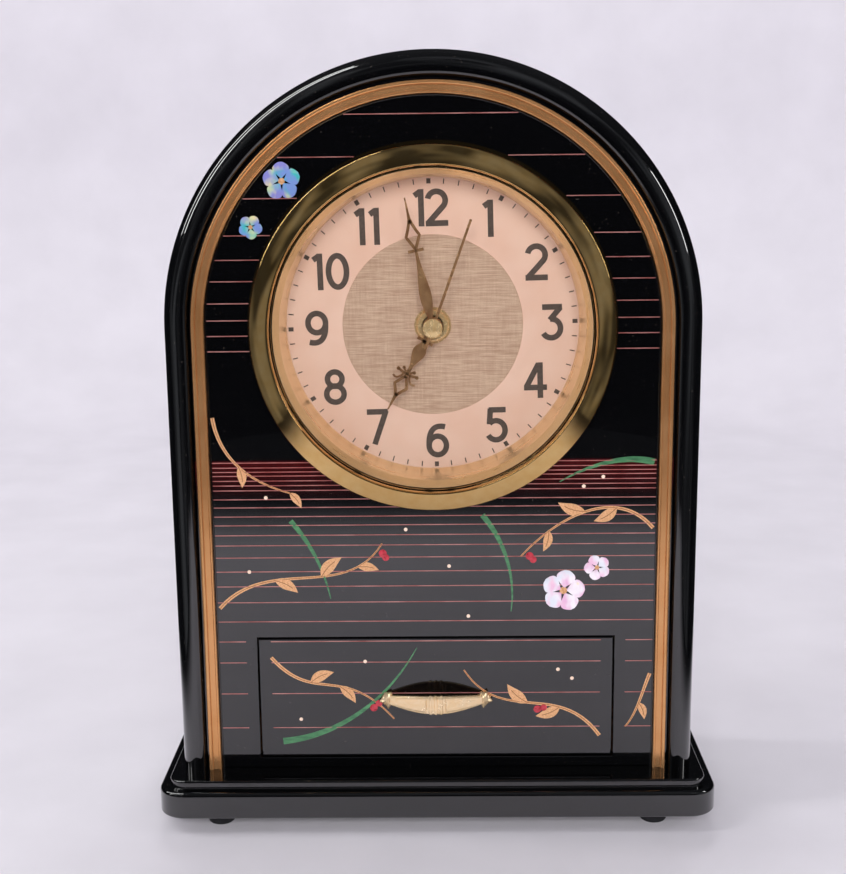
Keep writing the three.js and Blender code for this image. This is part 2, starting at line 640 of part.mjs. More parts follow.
// Gear train: each pair is a driving pinion and a driven wheel, by their numbers of teeth
const TRAIN = {
  rotor: { pinion: 6, wheel: 36 },
  intermediate: { pinion: 6, wheel: 30 },
  second: { pinion: 6, wheel: 45 },
  third: { pinion: 6, wheel: 48 },
  cannon: { pinion: 8, wheel: 24 },
  motion: { pinion: 8, wheel: 32 },
};
const ADDENDUM = 0.72;
const DEDENDUM = 1.05;
const moduleOf = (pair, distance) => (2 * distance) / (pair.pinion + pair.wheel);
const tipRadius = (teeth, module) => module * (teeth / 2 + ADDENDUM);

// The axes of the train, seen from the front with X to the right and Z up
const minuteTip = tipRadius(TRAIN.third.wheel, moduleOf(TRAIN.third, THIRD_DISTANCE));
const motionDistance = minuteTip + SETTING_ARBOR_RADIUS + 2 * WHEEL_GAP;
const polar = (distance, degrees) => {
  const angle = THREE.MathUtils.degToRad(degrees);
  return new THREE.Vector2(distance * Math.cos(angle), distance * Math.sin(angle));
};
const axis = {
  centre: new THREE.Vector2(0, 0),
  third: polar(THIRD_DISTANCE, 180),
  motion: polar(motionDistance, 20),
  intermediate: polar(INTERMEDIATE_DISTANCE, 90),
};
axis.rotor = axis.intermediate.clone().add(polar(ROTOR_DISTANCE, 35));

// Teeth as trapezoids, with one tooth's middle at the angle of phase
function gearOutline(centre, teeth, module, phase) {
  const root = module * (teeth / 2 - DEDENDUM);
  const tip = tipRadius(teeth, module);
  const pitch = (2 * Math.PI) / teeth;
  const corners = [[root, -0.23], [tip, -0.13], [tip, 0.13], [root, 0.23]];
  return Array.from({ length: teeth }, (_, i) => corners.map(([radius, share]) => {
    const angle = phase + (i + share) * pitch;
    return new THREE.Vector2(centre.x + radius * Math.cos(angle), centre.y + radius * Math.sin(angle));
  })).flat();
}
// A pair in mesh: the pinion has a tooth on the line of centres, and the wheel a gap
function gearPair(pair, from, to) {
  const line = to.clone().sub(from);
  const module = moduleOf(pair, line.length());
  const angle = line.angle();
  return {
    pinion: gearOutline(from, pair.pinion, module, angle),
    wheel: gearOutline(to, pair.wheel, module, angle + Math.PI + Math.PI / pair.wheel),
  };
}
const gears = {
  rotor: gearPair(TRAIN.rotor, axis.rotor, axis.intermediate),
  intermediate: gearPair(TRAIN.intermediate, axis.intermediate, axis.centre),
  second: gearPair(TRAIN.second, axis.centre, axis.third),
  third: gearPair(TRAIN.third, axis.third, axis.centre),
  cannon: gearPair(TRAIN.cannon, axis.centre, axis.motion),
  motion: gearPair(TRAIN.motion, axis.motion, axis.centre),
};

// Levels of the movement, from its front wall on the dial to its rear cover
const frontWall = dialBack;
const wallBack = frontWall + MOULDING_WALL;
const levelPitch = PINION_THICKNESS + LEVEL_GAP;
const level = (start, n) => start + LEVEL_GAP + n * levelPitch;
const hourLevel = level(wallBack, 0);
const motionLevel = level(wallBack, 1);
const minuteLevel = level(wallBack, 2);
const plateFront = level(wallBack, 3);
const plateBack = plateFront + PLATE_THICKNESS;
const thirdLevel = level(plateBack, 0);
const secondLevel = level(plateBack, 1);
const intermediateLevel = level(plateBack, 2);
const magnetFront = level(plateBack, 3);
const magnetBack = magnetFront + MAGNET_HEIGHT;
const statorFront = (magnetFront + magnetBack - STATOR_THICKNESS) / 2;
const statorMiddle = statorFront + STATOR_THICKNESS / 2;
const coilReach = COIL_RADIUS + COIL_FLANGE;
const cellMiddle = wallBack + FIT_GAP + CELL_RADIUS;
const gearBack = Math.max(statorMiddle + coilReach, cellMiddle + CELL_RADIUS) + FIT_GAP;
const movementBack = gearBack + MOULDING_WALL;
const arborBack = movementBack - MOULDING_WALL / 3;
const wheelPlate = (outline, front) => plate(outline, front, front + WHEEL_THICKNESS);
const pinionPlate = (outline, front) => plate(outline, front, front + PINION_THICKNESS);
const arbor = (at, radius, front, back) => bar(at.x, at.y, radius, front, back);

// Second wheel: its arbor runs through the minute pipe to the second hand
add(face, 'second_wheel', joined(
  arbor(axis.centre, SECOND_ARBOR_RADIUS, secondArborFront, arborBack),
  wheelPlate(gears.intermediate.wheel, secondLevel),
  pinionPlate(gears.second.pinion, thirdLevel),
), whiteMoulding);

// Minute wheel with the cannon pinion, on a pipe that carries the minute hand
add(face, 'minute_wheel', cut(joined(
  bar(0, 0, minutePipe, minuteHandFront - FIT_GAP, minuteLevel + PINION_THICKNESS, ROD_STEPS),
  wheelPlate(gears.third.wheel, minuteLevel),
  plate(gears.cannon.pinion, motionLevel, motionLevel + levelPitch),
), bar(0, 0, minuteBore, minuteHandFront - 1, plateBack, PIVOT_STEPS)), whiteMoulding);

// Hour wheel, on a pipe inside the stem that carries the hour hand
add(face, 'hour_wheel', cut(joined(
  bar(0, 0, hourPipe, hourHandFront - FIT_GAP, hourLevel + WHEEL_THICKNESS, ROD_STEPS),
  wheelPlate(gears.motion.wheel, hourLevel),
), bar(0, 0, hourBore, hourHandFront - 1, plateBack, ROD_STEPS)), whiteMoulding);

// Third wheel, intermediate wheel and rotor
const frontPivot = frontWall + MOULDING_WALL / 3;
const platePivot = plateFront + PLATE_THICKNESS / 4;
add(face, 'third_wheel', joined(
  arbor(axis.third, ARBOR_RADIUS, frontPivot, arborBack),
  wheelPlate(gears.second.wheel, thirdLevel),
  pinionPlate(gears.third.pinion, minuteLevel),
), whiteMoulding);
add(face, 'intermediate_wheel', joined(
  arbor(axis.intermediate, ARBOR_RADIUS, platePivot, arborBack),
  wheelPlate(gears.rotor.wheel, intermediateLevel),
  pinionPlate(gears.intermediate.pinion, secondLevel),
), whiteMoulding);
add(face, 'rotor', joined(
  arbor(axis.rotor, ARBOR_RADIUS, platePivot, arborBack),
  pinionPlate(gears.rotor.pinion, intermediateLevel),
  bar(axis.rotor.x, axis.rotor.y, MAGNET_RADIUS, magnetFront, magnetBack, ROD_STEPS),
), magnetGrey);

// Motion wheel, whose arbor comes out of the back and carries the setting knob
const knobFront = movementBack + FIT_GAP;
const knobBack = knobFront + KNOB_HEIGHT;
add(face, 'motion_wheel', joined(
  arbor(axis.motion, SETTING_ARBOR_RADIUS, frontPivot, knobBack - KNOB_HEIGHT / 4),
  wheelPlate(gears.cannon.wheel, motionLevel),
  plate(gears.motion.pinion, hourLevel, motionLevel),
), whiteMoulding);
function settingKnob() {
  const ridged = Array.from({ length: 2 * KNOB_RIDGES }, (_, i) => {
    const radius = KNOB_RADIUS - (i % 2) * KNOB_RIDGE_DEPTH;
    return polar(radius, (180 * i) / KNOB_RIDGES).add(axis.motion);
  });
  const socketBack = knobBack - KNOB_HEIGHT / 4 + FIT_GAP;
  const socket = arbor(axis.motion, SETTING_ARBOR_RADIUS + FIT_GAP / 3, knobFront - 1, socketBack);
  return cut(plate(ridged, knobFront, knobBack), socket);
}
add(face, 'setting_knob', settingKnob(), blackMoulding);

// Moulded movement case: a chamber for the train over a bay for the cell, with the stem in front
const cellSpace = CELL_LENGTH + CELL_NUB_LENGTH + 2 * (CONTACT_THICKNESS + FIT_GAP);
const trainReach = THIRD_DISTANCE + tipRadius(TRAIN.second.wheel, moduleOf(TRAIN.second, THIRD_DISTANCE));
const insideHalfWidth = Math.max(cellSpace / 2, trainReach + 2 * WHEEL_GAP);
const movementHalfWidth = insideHalfWidth + MOULDING_WALL;
const insideTop = MOVEMENT_TOP - MOULDING_WALL;
const chamberLow = -Math.max(trainReach - THIRD_DISTANCE, minuteTip) - 2 * WHEEL_GAP;
const bayTop = chamberLow - MOULDING_WALL;
const cellZ = bayTop - FIT_GAP - CELL_RADIUS;
const bayLow = cellZ - CELL_RADIUS - FIT_GAP;
const movementLow = bayLow - MOULDING_WALL;
const pivotHole = ARBOR_RADIUS + RUNNING_GAP;
const settingHole = SETTING_ARBOR_RADIUS + RUNNING_GAP;
const postX = insideHalfWidth - POST_RADIUS / 2;
const posts = [
  [-postX, insideTop - POST_RADIUS / 2], [postX, insideTop - POST_RADIUS / 2],
  [-postX, chamberLow + POST_RADIUS / 2], [postX, chamberLow + POST_RADIUS / 2],
];
function movementFrontCase() {
  const back = gearBack;
  const body = block([-movementHalfWidth, frontWall, movementLow], [movementHalfWidth, back, MOVEMENT_TOP]);
  const stem = bar(0, 0, STEM_RADIUS, stemFront, wallBack, ROD_STEPS);
  const chamber = block([-insideHalfWidth, wallBack, chamberLow], [insideHalfWidth, back + 1, insideTop]);
  const bay = block([-insideHalfWidth, wallBack, bayLow], [insideHalfWidth, back + 1, bayTop]);
  const hollow = cut(joined(body, stem), chamber, bay);
  const standing = joined(hollow, ...posts.map(([x, z]) => bar(x, z, POST_RADIUS, wallBack - 0.5, plateFront)));
  return cut(
    standing,
    bar(0, 0, stemBore, stemFront - 1, wallBack + 1, ROD_STEPS),
    arbor(axis.third, pivotHole, frontWall - 1, wallBack + 1),
    arbor(axis.motion, settingHole, frontWall - 1, wallBack + 1),
  );
}
add(face, 'movement_front_case', movementFrontCase(), blackMoulding);

// Middle plate on the posts, with two pillars that carry the stator
const coilZ = insideTop - coilReach - FIT_GAP;
const statorRight = axis.rotor.x + STATOR_WIDTH / 2;
const armLeft = statorRight - STATOR_WIDTH - COIL_LENGTH - 2 * FIT_GAP - 2 * PILLAR_RADIUS;
const pillars = [[armLeft + PILLAR_RADIUS, coilZ], [axis.rotor.x, coilZ]];
function middlePlate() {
  const outline = rectangle(-insideHalfWidth + FIT_GAP, insideHalfWidth - FIT_GAP, chamberLow + FIT_GAP,
    insideTop - FIT_GAP);
  const at = (point, radius) => circle(point.x, point.y, radius, PIVOT_STEPS);
  const holes = [
    at(axis.centre, minuteBore), at(axis.third, pivotHole), at(axis.intermediate, pivotHole),
    at(axis.rotor, pivotHole), at(axis.motion, settingHole),
  ];
  const standing = pillars.map(([x, z]) => bar(x, z, PILLAR_RADIUS, plateBack - 0.5, statorFront));
  return joined(plate(outline, plateFront, plateBack, holes), ...standing);
}
add(face, 'middle_plate', middlePlate(), whiteMoulding);

// Stator with a hole round the magnet and an arm through the coil
function stator() {
  const low = axis.rotor.y - STATOR_WIDTH / 2;
  const left = statorRight - STATOR_WIDTH;
  const armHalf = STATOR_ARM_WIDTH / 2;
  const outline = [
    [left, low], [statorRight, low], [statorRight, coilZ + armHalf], [armLeft, coilZ + armHalf],
    [armLeft, coilZ - armHalf], [left, coilZ - armHalf],
  ].map(([x, z]) => new THREE.Vector2(x, z));
  const hole = circle(axis.rotor.x, axis.rotor.y, MAGNET_RADIUS + WHEEL_GAP, 24);
  return plate(outline, statorFront, statorFront + STATOR_THICKNESS, [hole]);
}
add(face, 'stator', stator(), steel);

// Coil of wire on a bobbin, round the stator's arm
const armCorner = Math.hypot(STATOR_ARM_WIDTH, STATOR_THICKNESS) / 2;
function coil() {
  const bore = armCorner + FIT_GAP;
  const end = COIL_LENGTH / 2;
  const inner = end - COIL_FLANGE_THICKNESS;
  return turned([
    [bore, -end], [coilReach, -end], [coilReach, -inner], [COIL_RADIUS, -inner], [COIL_RADIUS, inner],
    [coilReach, inner], [coilReach, end], [bore, end], [bore, -end],
  ], ROD_STEPS).rotateZ(Math.PI / 2);
}
const coilX = statorRight - STATOR_WIDTH - FIT_GAP - COIL_LENGTH / 2;
add(face, 'coil', coil(), copper).position.set(coilX, statorMiddle, coilZ);

// Circuit board on the rear cover, with the crystal in its can on the board
const boardLeft = FIT_GAP - insideHalfWidth;
const boardRight = Math.min(boardLeft + BOARD_WIDTH, axis.third.x - pivotHole - FIT_GAP);
const boardHigh = coilZ - coilReach - FIT_GAP;
const boardFront = gearBack - BOARD_THICKNESS;
add(face, 'circuit_board', block([boardLeft, boardFront, boardHigh - BOARD_HEIGHT],
  [boardRight, gearBack, boardHigh]), boardGreen);
const crystal = new THREE.CylinderGeometry(CRYSTAL_RADIUS, CRYSTAL_RADIUS, CRYSTAL_LENGTH, PIVOT_STEPS)
  .rotateX(Math.PI / 2);
const crystalX = (boardLeft + boardRight) / 2;
const crystalY = boardFront - CRYSTAL_RADIUS - FIT_GAP / 3;
add(face, 'quartz_crystal', crystal, steel).position.set(crystalX, crystalY, boardHigh - CRYSTAL_LENGTH);

// Rear cover of the movement, which holds the train's rear pivots and leaves the cell's bay open
function movementRearCover() {
  const outline = rectangle(-movementHalfWidth, movementHalfWidth, bayTop, MOVEMENT_TOP);
  const at = (point, radius) => circle(point.x, point.y, radius, PIVOT_STEPS);
  const holes = [
    at(axis.centre, SECOND_ARBOR_RADIUS + RUNNING_GAP), at(axis.third, pivotHole),
    at(axis.intermediate, pivotHole), at(axis.rotor, pivotHole), at(axis.motion, settingHole),
  ];
  return plate(outline, gearBack, movementBack, holes);
}
add(face, 'movement_rear_cover', movementRearCover(), blackMoulding);

// Cell along the bay, between its two contacts
function cell() {
  return turned([
    [0, 0], [CELL_RADIUS, 0], [CELL_RADIUS, CELL_LENGTH], [CELL_NUB_RADIUS, CELL_LENGTH],
    [CELL_NUB_RADIUS, CELL_LENGTH + CELL_NUB_LENGTH], [0, CELL_LENGTH + CELL_NUB_LENGTH],
  ], 24).rotateZ(-Math.PI / 2);
}
const cellLeft = -(CELL_LENGTH + CELL_NUB_LENGTH) / 2;
add(face, 'battery', cell(), cellWrap).position.set(cellLeft, cellMiddle, cellZ);
const contactSize = CELL_RADIUS - FIT_GAP;
const contactInside = -cellLeft + FIT_GAP;
for (const [pole, side] of [['negative', -1], ['positive', 1]]) {
  const ends = [side * contactInside, side * (insideHalfWidth)].sort((a, b) => a - b);
  add(face, `contact_${pole}`, block([ends[0], cellMiddle - contactSize, cellZ - contactSize],
    [ends[1], cellMiddle + contactSize, cellZ + contactSize]), brass);
}

// Drawer shelf on the base, and a runner on each side with a ledge and a guide
const drawerHalfWidth = openingHalfWidth - DRAWER_GAP;
const drawerLow = openingLow + DRAWER_GAP;
const drawerHigh = openingHigh - DRAWER_GAP;
const boxHalfWidth = drawerHalfWidth - DRAWER_BOX_INSET;
const boxInside = boxHalfWidth - DRAWER_WALL;
const boxLow = drawerLow + DRAWER_BOX_LIFT;
const boxHigh = boxLow + DRAWER_BOX_HEIGHT;
const boxFront = PANEL_FRONT + DRAWER_FRONT_THICKNESS;
const boxBack = COVER_FRONT - DRAWER_BACK_SPACE;
const shelfTop = BASE_TOP + SHELF_THICKNESS;
const shelfFront = PANEL_BACK + FIT_GAP;
const shelfBack = COVER_FRONT - FIT_GAP;
const shelfSide = SHOULDER_RADIUS - FIT_GAP;
const runnerFront = Math.max(PANEL_BACK, boxFront) + FIT_GAP;
add(clock, 'drawer_shelf', block([-shelfSide, shelfFront, BASE_TOP], [shelfSide, shelfBack, shelfTop]),
  fibreboard);
function runner(side) {
  const ledgeHigh = boxLow - FIT_GAP;
  const inner = boxInside - FIT_GAP;
  const guide = boxHalfWidth + FIT_GAP;
  const outer = guide + GUIDE_THICKNESS;
  const outline = [
    [inner, shelfTop], [outer, shelfTop], [outer, shelfTop + GUIDE_HEIGHT], [guide, shelfTop + GUIDE_HEIGHT],
    [guide, ledgeHigh], [inner, ledgeHigh],
  ].map(([x, z]) => new THREE.Vector2(side * x, z));
  return plate(outline, runnerFront, shelfBack);
}
add(clock, 'runner_left', runner(-1), drawerWood);
add(clock, 'runner_right', runner(1), drawerWood);

// Drawer box: sides, back and bottom behind the front, with a felt lining
const drawer = new THREE.Group();
clock.add(drawer);
const pullZ = (drawerLow + drawerHigh) / 2;
const pullPosts = [['left', -PULL_SPACING / 2], ['right', PULL_SPACING / 2]];
function drawerFront() {
  const outline = rectangle(-drawerHalfWidth, drawerHalfWidth, drawerLow, drawerHigh);
  const holes = pullPosts.map(([, x]) => circle(x, pullZ, screwHole, PIVOT_STEPS));
  return plate(outline, PANEL_FRONT, boxFront, holes);
}
add(drawer, 'drawer_front', drawerFront(), blackLacquer);
for (const [side, sign] of [['left', -1], ['right', 1]]) {
  const [x0, x1] = [sign * boxInside, sign * boxHalfWidth].sort((a, b) => a - b);
  add(drawer, `drawer_side_${side}`, block([x0, boxFront, boxLow], [x1, boxBack, boxHigh]), drawerWood);
}
const backFront = boxBack - DRAWER_WALL;
const bottomHigh = boxLow + DRAWER_BOTTOM_THICKNESS;
add(drawer, 'drawer_back', block([-boxInside, backFront, bottomHigh], [boxInside, boxBack, boxHigh]), drawerWood);
add(drawer, 'drawer_bottom', block([-boxInside, boxFront, boxLow], [boxInside, boxBack, bottomHigh]), drawerWood);
add(drawer, 'drawer_lining', block(
  [FIT_GAP - boxInside, boxFront + FIT_GAP, bottomHigh],
  [boxInside - FIT_GAP, backFront - FIT_GAP, bottomHigh + LINING_THICKNESS],
), redFelt);

// Pull: a bowed strap between two leaf rosettes, each on a post that takes a screw from inside
function pull() {
  const reach = PULL_SPACING / 2;
  const bow = PULL_PROJECTION - PULL_POST_LENGTH - PULL_STRAP_THICKNESS / 2;
  const rows = 12;
  const strap = loft(Array.from({ length: rows + 1 }, (_, i) => {
    const along = -1 + (2 * i) / rows;
    const rise = Math.cos((along * Math.PI) / 2);
    const height = PULL_STRAP_END_HEIGHT + (PULL_STRAP_HEIGHT - PULL_STRAP_END_HEIGHT) * rise;
    const y = PANEL_FRONT - PULL_POST_LENGTH - bow * rise;
    return circle(0, 0, 1, 8).map((point) => new THREE.Vector3(
      along * reach, y + (point.x * PULL_STRAP_THICKNESS) / 2, pullZ + (point.y * height) / 2,
    ));
  }));
  const rosetteFront = PANEL_FRONT - PULL_POST_LENGTH - PULL_ROSETTE_THICKNESS / 2;
  const rosetteBack = rosetteFront + PULL_ROSETTE_THICKNESS;
  const leaves = 6;
  const ends = pullPosts.flatMap(([, x]) => {
    const rosette = Array.from({ length: 2 * leaves }, (_, i) => {
      const radius = i % 2 ? PULL_ROSETTE_RADIUS * 0.72 : PULL_ROSETTE_RADIUS;
      return polar(radius, (180 * i) / leaves).add(new THREE.Vector2(x, pullZ));
    });
    return [
      plate(rosette, rosetteFront, rosetteBack),
      bar(x, pullZ, PULL_POST_RADIUS, rosetteFront + 0.5, PANEL_FRONT, ROD_STEPS),
    ];
  });
  const pilots = pullPosts.map(([, x]) =>
    bar(x, pullZ, screwHole, PANEL_FRONT - PULL_SCREW_GRIP, PANEL_FRONT + 1));
  return cut(joined(strap, ...ends), ...pilots);
}
add(drawer, 'drawer_pull', pull(), gildedMetal);
const pullScrewLength = DRAWER_FRONT_THICKNESS + PULL_SCREW_GRIP - FIT_GAP;
for (const [side, x] of pullPosts) {
  add(drawer, `pull_screw_${side}`, screw(pullScrewLength), steel).position.set(x, boxFront, pullZ);
}

export default clock;
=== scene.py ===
"""Arched table clock with a drawer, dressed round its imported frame.

Sizes are in millimetres and become metres when a mesh is made. The front faces -Y.
"""

import json
import math

import bmesh
import bpy
import numpy as np
from mathutils import Matrix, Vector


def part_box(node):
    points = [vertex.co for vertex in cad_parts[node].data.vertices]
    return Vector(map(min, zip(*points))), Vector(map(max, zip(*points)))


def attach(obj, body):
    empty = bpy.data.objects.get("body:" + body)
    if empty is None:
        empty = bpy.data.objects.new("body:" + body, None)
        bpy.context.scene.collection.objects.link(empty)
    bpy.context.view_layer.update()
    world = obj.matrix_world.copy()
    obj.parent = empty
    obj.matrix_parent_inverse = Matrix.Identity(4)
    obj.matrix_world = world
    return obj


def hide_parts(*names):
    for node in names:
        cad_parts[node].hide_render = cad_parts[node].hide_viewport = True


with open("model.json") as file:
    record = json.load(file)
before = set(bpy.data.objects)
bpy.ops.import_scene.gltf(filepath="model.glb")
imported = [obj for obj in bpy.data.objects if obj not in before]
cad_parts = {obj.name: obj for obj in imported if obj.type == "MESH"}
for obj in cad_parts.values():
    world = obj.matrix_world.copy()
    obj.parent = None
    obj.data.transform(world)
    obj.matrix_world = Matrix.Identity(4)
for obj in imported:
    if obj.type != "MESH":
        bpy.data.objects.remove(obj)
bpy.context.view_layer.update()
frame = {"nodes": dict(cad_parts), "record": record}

# Base plinth: one wooden block with a low step, moulded with rounded corners and edges,
# sprayed with black lacquer and polished. The case stands on it and is screwed from below.
MM = 0.001
SAME_POINT = 1e-6


def span(node):
    """Lowest and highest corner of a CAD node at rest, in millimetres."""
    return [np.array(corner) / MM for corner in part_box(node)]


def rounded_outline(half_x, half_y, corner, steps=14):
    """Rounded rectangle as (n, 2) points: a quarter circle about each inset corner, in turn."""
    angles = np.linspace(0, np.pi / 2, steps) + np.arange(4)[:, None] * np.pi / 2
    signs = np.array([[1, 1], [-1, 1], [-1, -1], [1, -1]])
    centres = signs * [half_x - corner, half_y - corner]
    arcs = centres[:, None] + corner * np.stack([np.cos(angles), np.sin(angles)], axis=-1)
    return arcs.reshape(-1, 2)


def skin(grid, around=True, endless=False, capped=True):
    """Faces over a (rows, columns, 3) grid: quad (i, j) joins rows i, i + 1 with columns j, j + 1.

    around closes each row into a ring, endless joins the last row to the first, capped fills both ends.
    """
    rows, columns = grid.shape[:2]
    index = np.arange(rows * columns).reshape(rows, columns)
    if around:
        index = np.hstack([index, index[:, :1]])
    if endless:
        index = np.vstack([index, index[:1]])
    quads = np.stack([index[:-1, :-1], index[:-1, 1:], index[1:, 1:], index[1:, :-1]], axis=-1)
    faces = quads.reshape(-1, 4).tolist()
    if capped:
        faces += [list(range(columns))[::-1], list(range((rows - 1) * columns, rows * columns))]
    return grid.reshape(-1, 3), faces


def show(name, mesh, material, crease):
    """An object for a mesh: smooth, but for edges that bend by more than crease degrees."""
    mesh.shade_smooth()
    mesh.set_sharp_from_angle(angle=math.radians(crease))
    mesh.materials.append(material)
    obj = bpy.data.objects.new(name, mesh)
    bpy.context.scene.collection.objects.link(obj)
    return obj


def build(name, shells, material, body, slot, *stands_for, crease=38):
    """One object at the origin from (points, faces) shells: doubles merged, faces turned outwards.

    Large faces keep their own normals.
    """
    points = [shell[0] for shell in shells]
    starts = np.cumsum([0] + [len(part) for part in points])
    faces = [[v + start for v in face] for start, shell in zip(starts, shells) for face in shell[1]]
    mesh = bpy.data.meshes.new(name)
    mesh.from_pydata(np.vstack(points) * MM, [], faces)
    work = bmesh.new()
    work.from_mesh(mesh)
    bmesh.ops.remove_doubles(work, verts=work.verts, dist=SAME_POINT)
    bmesh.ops.recalc_face_normals(work, faces=work.faces)
    work.to_mesh(mesh)
    work.free()
    obj = show(name, mesh, material, crease)
    even = obj.modifiers.new("even_normals", "WEIGHTED_NORMAL")
    even.keep_sharp = True
    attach(obj, body)
    if stands_for:
        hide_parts(*stands_for)
    return obj


def linear(code):
    """Linear RGBA of an sRGB hex colour: c / 12.92 up to 0.04045, else ((c + 0.055) / 1.055) ** 2.4."""
    srgb = np.array([int(code[i:i + 2], 16) for i in (1, 3, 5)]) / 255
    rgb = np.where(srgb <= 0.04045, srgb / 12.92, ((srgb + 0.055) / 1.055) ** 2.4)
    return (*rgb, 1.0)


def add_node(tree, kind, inputs, **settings):
    """Adds a node. Each input is a value, a socket, or a node whose first output in use is linked."""
    made = tree.nodes.new("ShaderNode" + kind)
    for key, value in settings.items():
        setattr(made, key, value)
    for key, value in inputs.items():
        if isinstance(value, bpy.types.Node):
            value = next(output for output in value.outputs if output.enabled)
        if isinstance(value, bpy.types.NodeSocket):
            tree.links.new(value, made.inputs[key])
        else:
            made.inputs[key].default_value = value
    return made


def finish(name):
    """A new material and its node tree, still empty."""
    material = bpy.data.materials.new(name)
    material.use_nodes = True
    material.node_tree.nodes.clear()
    return material, material.node_tree


DUST_SIZE = 0.9
HAZE_SIZE = 7
WAVE_SIZE = 14
WAVE_DEPTH = 0.01


def black_lacquer(name):
    """Polished black lacquer, built up in coats: deep black under a clear gloss like a dark pane.

    It has slow waves from rubbing down, hazy places, and specks of dust drawn coarser than real ones.
    """
    material, tree = finish(name)
    place = add_node(tree, "TexCoord", {}).outputs["Object"]
    dust = add_node(tree, "TexNoise", {"Vector": place, "Scale": 1 / (DUST_SIZE * MM), "Detail": 1.0})
    specks = add_node(tree, "MapRange", {"Value": dust, "From Min": 0.74, "From Max": 0.8, "To Max": 0.25})
    colour = add_node(tree, "Mix", {0: specks, 6: linear("#030304"), 7: linear("#8a8078")}, data_type="RGBA")
    rubbed = add_node(tree, "Mapping", {"Vector": place, "Scale": (0.25, 1, 1)})
    haze = add_node(tree, "TexNoise", {"Vector": rubbed, "Scale": 1 / (HAZE_SIZE * MM), "Detail": 3.0})
    dull = add_node(tree, "MapRange",
                    {"Value": haze, "From Min": 0.3, "From Max": 0.7, "To Min": 0.1, "To Max": 0.2})
    waves = add_node(tree, "TexNoise", {"Vector": place, "Scale": 1 / (WAVE_SIZE * MM)})
    bump = add_node(tree, "Bump", {"Height": waves, "Distance": WAVE_DEPTH * MM})
    shader = add_node(tree, "BsdfPrincipled",
                      {"Base Color": colour, "Roughness": dull, "Normal": bump, "Specular IOR Level": 0.2,
                       "Coat Weight": 1.0, "Coat Roughness": 0.02, "Coat IOR": 1.8})
    add_node(tree, "OutputMaterial", {"Surface": shader})
    return material


case_lacquer = black_lacquer("black_lacquer_on_wood")
plinth_low, plinth_high = span("base_plinth")
PLINTH_CORNER = 12
STEP_SETBACK = 4.5
STEP_HEIGHT = 3.5
LOW_ROUND = 1
BODY_ROUND = 2
STEP_ROUND = 1
COVE = 0.5
COVE_HOLLOW = 0.15


def arc(centre, radius, start, stop, steps):
    """Part of a circle, or of an ellipse with a pair of radii, from one angle to another in degrees."""
    angles = np.radians(np.linspace(start, stop, steps))
    return np.asarray(centre) + np.stack([np.cos(angles), np.sin(angles)], axis=-1) * radius


def plinth_ring(inset, height):
    """The plinth's outline, drawn in by inset, at one height."""
    outline = rounded_outline(*(plinth_high[:2] - inset), PLINTH_CORNER - inset)
    return np.column_stack([outline, np.full(len(outline), height)])


body_top = plinth_high[2] - STEP_HEIGHT
plinth_profile = np.vstack([
    arc((LOW_ROUND, plinth_low[2] + LOW_ROUND), LOW_ROUND, -90, -180, 7),
    arc((BODY_ROUND, body_top - BODY_ROUND), BODY_ROUND, 180, 90, 7),
    [[STEP_SETBACK - COVE, body_top], [STEP_SETBACK - COVE_HOLLOW, body_top + COVE_HOLLOW],
     [STEP_SETBACK, body_top + COVE]],
    arc((STEP_SETBACK + STEP_ROUND, plinth_high[2] - STEP_ROUND), STEP_ROUND, 180, 90, 7),
])
plinth_rings = np.stack([plinth_ring(*point) for point in plinth_profile])
build("plinth", [skin(plinth_rings)], case_lacquer, "case", "black_lacquered_wood", "base_plinth")

# Feet: four low stubs of moulded black rubber, pressed into the plinth's underside.
# They taper a little downwards and have a softened lower edge.


def mottled(name, dark, light, size_mm, roughness, stretch=(1, 1, 1), detail=3.0, depth_mm=0.0, **sockets):
    """A finish whose colour, roughness and height follow one noise with features of size_mm.

    Features are longer along an axis where stretch is below 1. Other sockets of the shader go by their names,
    written with low lines for spaces.
    """
    material, tree = finish(name)
    place = add_node(tree, "TexCoord", {})
    scaled = add_node(tree, "Mapping", {"Vector": place.outputs["Object"], "Scale": stretch})
    noise = add_node(tree, "TexNoise", {"Vector": scaled, "Scale": 1 / (size_mm * MM), "Detail": detail})
    share = add_node(tree, "MapRange", {"Value": noise, "From Min": 0.3, "From Max": 0.7})
    colour = add_node(tree, "Mix", {0: share, 6: linear(dark), 7: linear(light)}, data_type="RGBA")
    gloss = add_node(tree, "MapRange", {"Value": share, "To Min": roughness[0], "To Max": roughness[1]})
    bump = add_node(tree, "Bump", {"Height": share, "Distance": depth_mm * MM})
    named = {key.replace("_", " "): value for key, value in sockets.items()}
    shader = add_node(tree, "BsdfPrincipled",
                      {"Base Color": colour, "Roughness": gloss, "Normal": bump, **named})
    add_node(tree, "OutputMaterial", {"Surface": shader})
    return material


# The rubber gives the eye a dull dark grey with a fine pebbled skin that never mirrors.
rubber = mottled("moulded_rubber", "#1a1a1c", "#242427", 0.6, (0.55, 0.8), depth_mm=0.03,
                 Specular_IOR_Level=0.3)
FOOT_ROUND = 1.2
FOOT_TAPER = 0.8


def turned(profile, steps, centre, axis="y"):
    """(radius, height) points turned about an axis: r cos a and r sin a across it, height along it."""
    angles = np.arange(steps) * 2 * np.pi / steps
    radius, height = np.asarray(profile, float).T
    across = radius[:, None] * np.cos(angles)
    up = radius[:, None] * np.sin(angles)
    along = np.broadcast_to(height[:, None], across.shape)
    order = {"x": (along, across, up), "y": (across, along, up), "z": (across, up, along)}[axis]
    return np.stack(order, axis=-1) + np.asarray(centre, float)


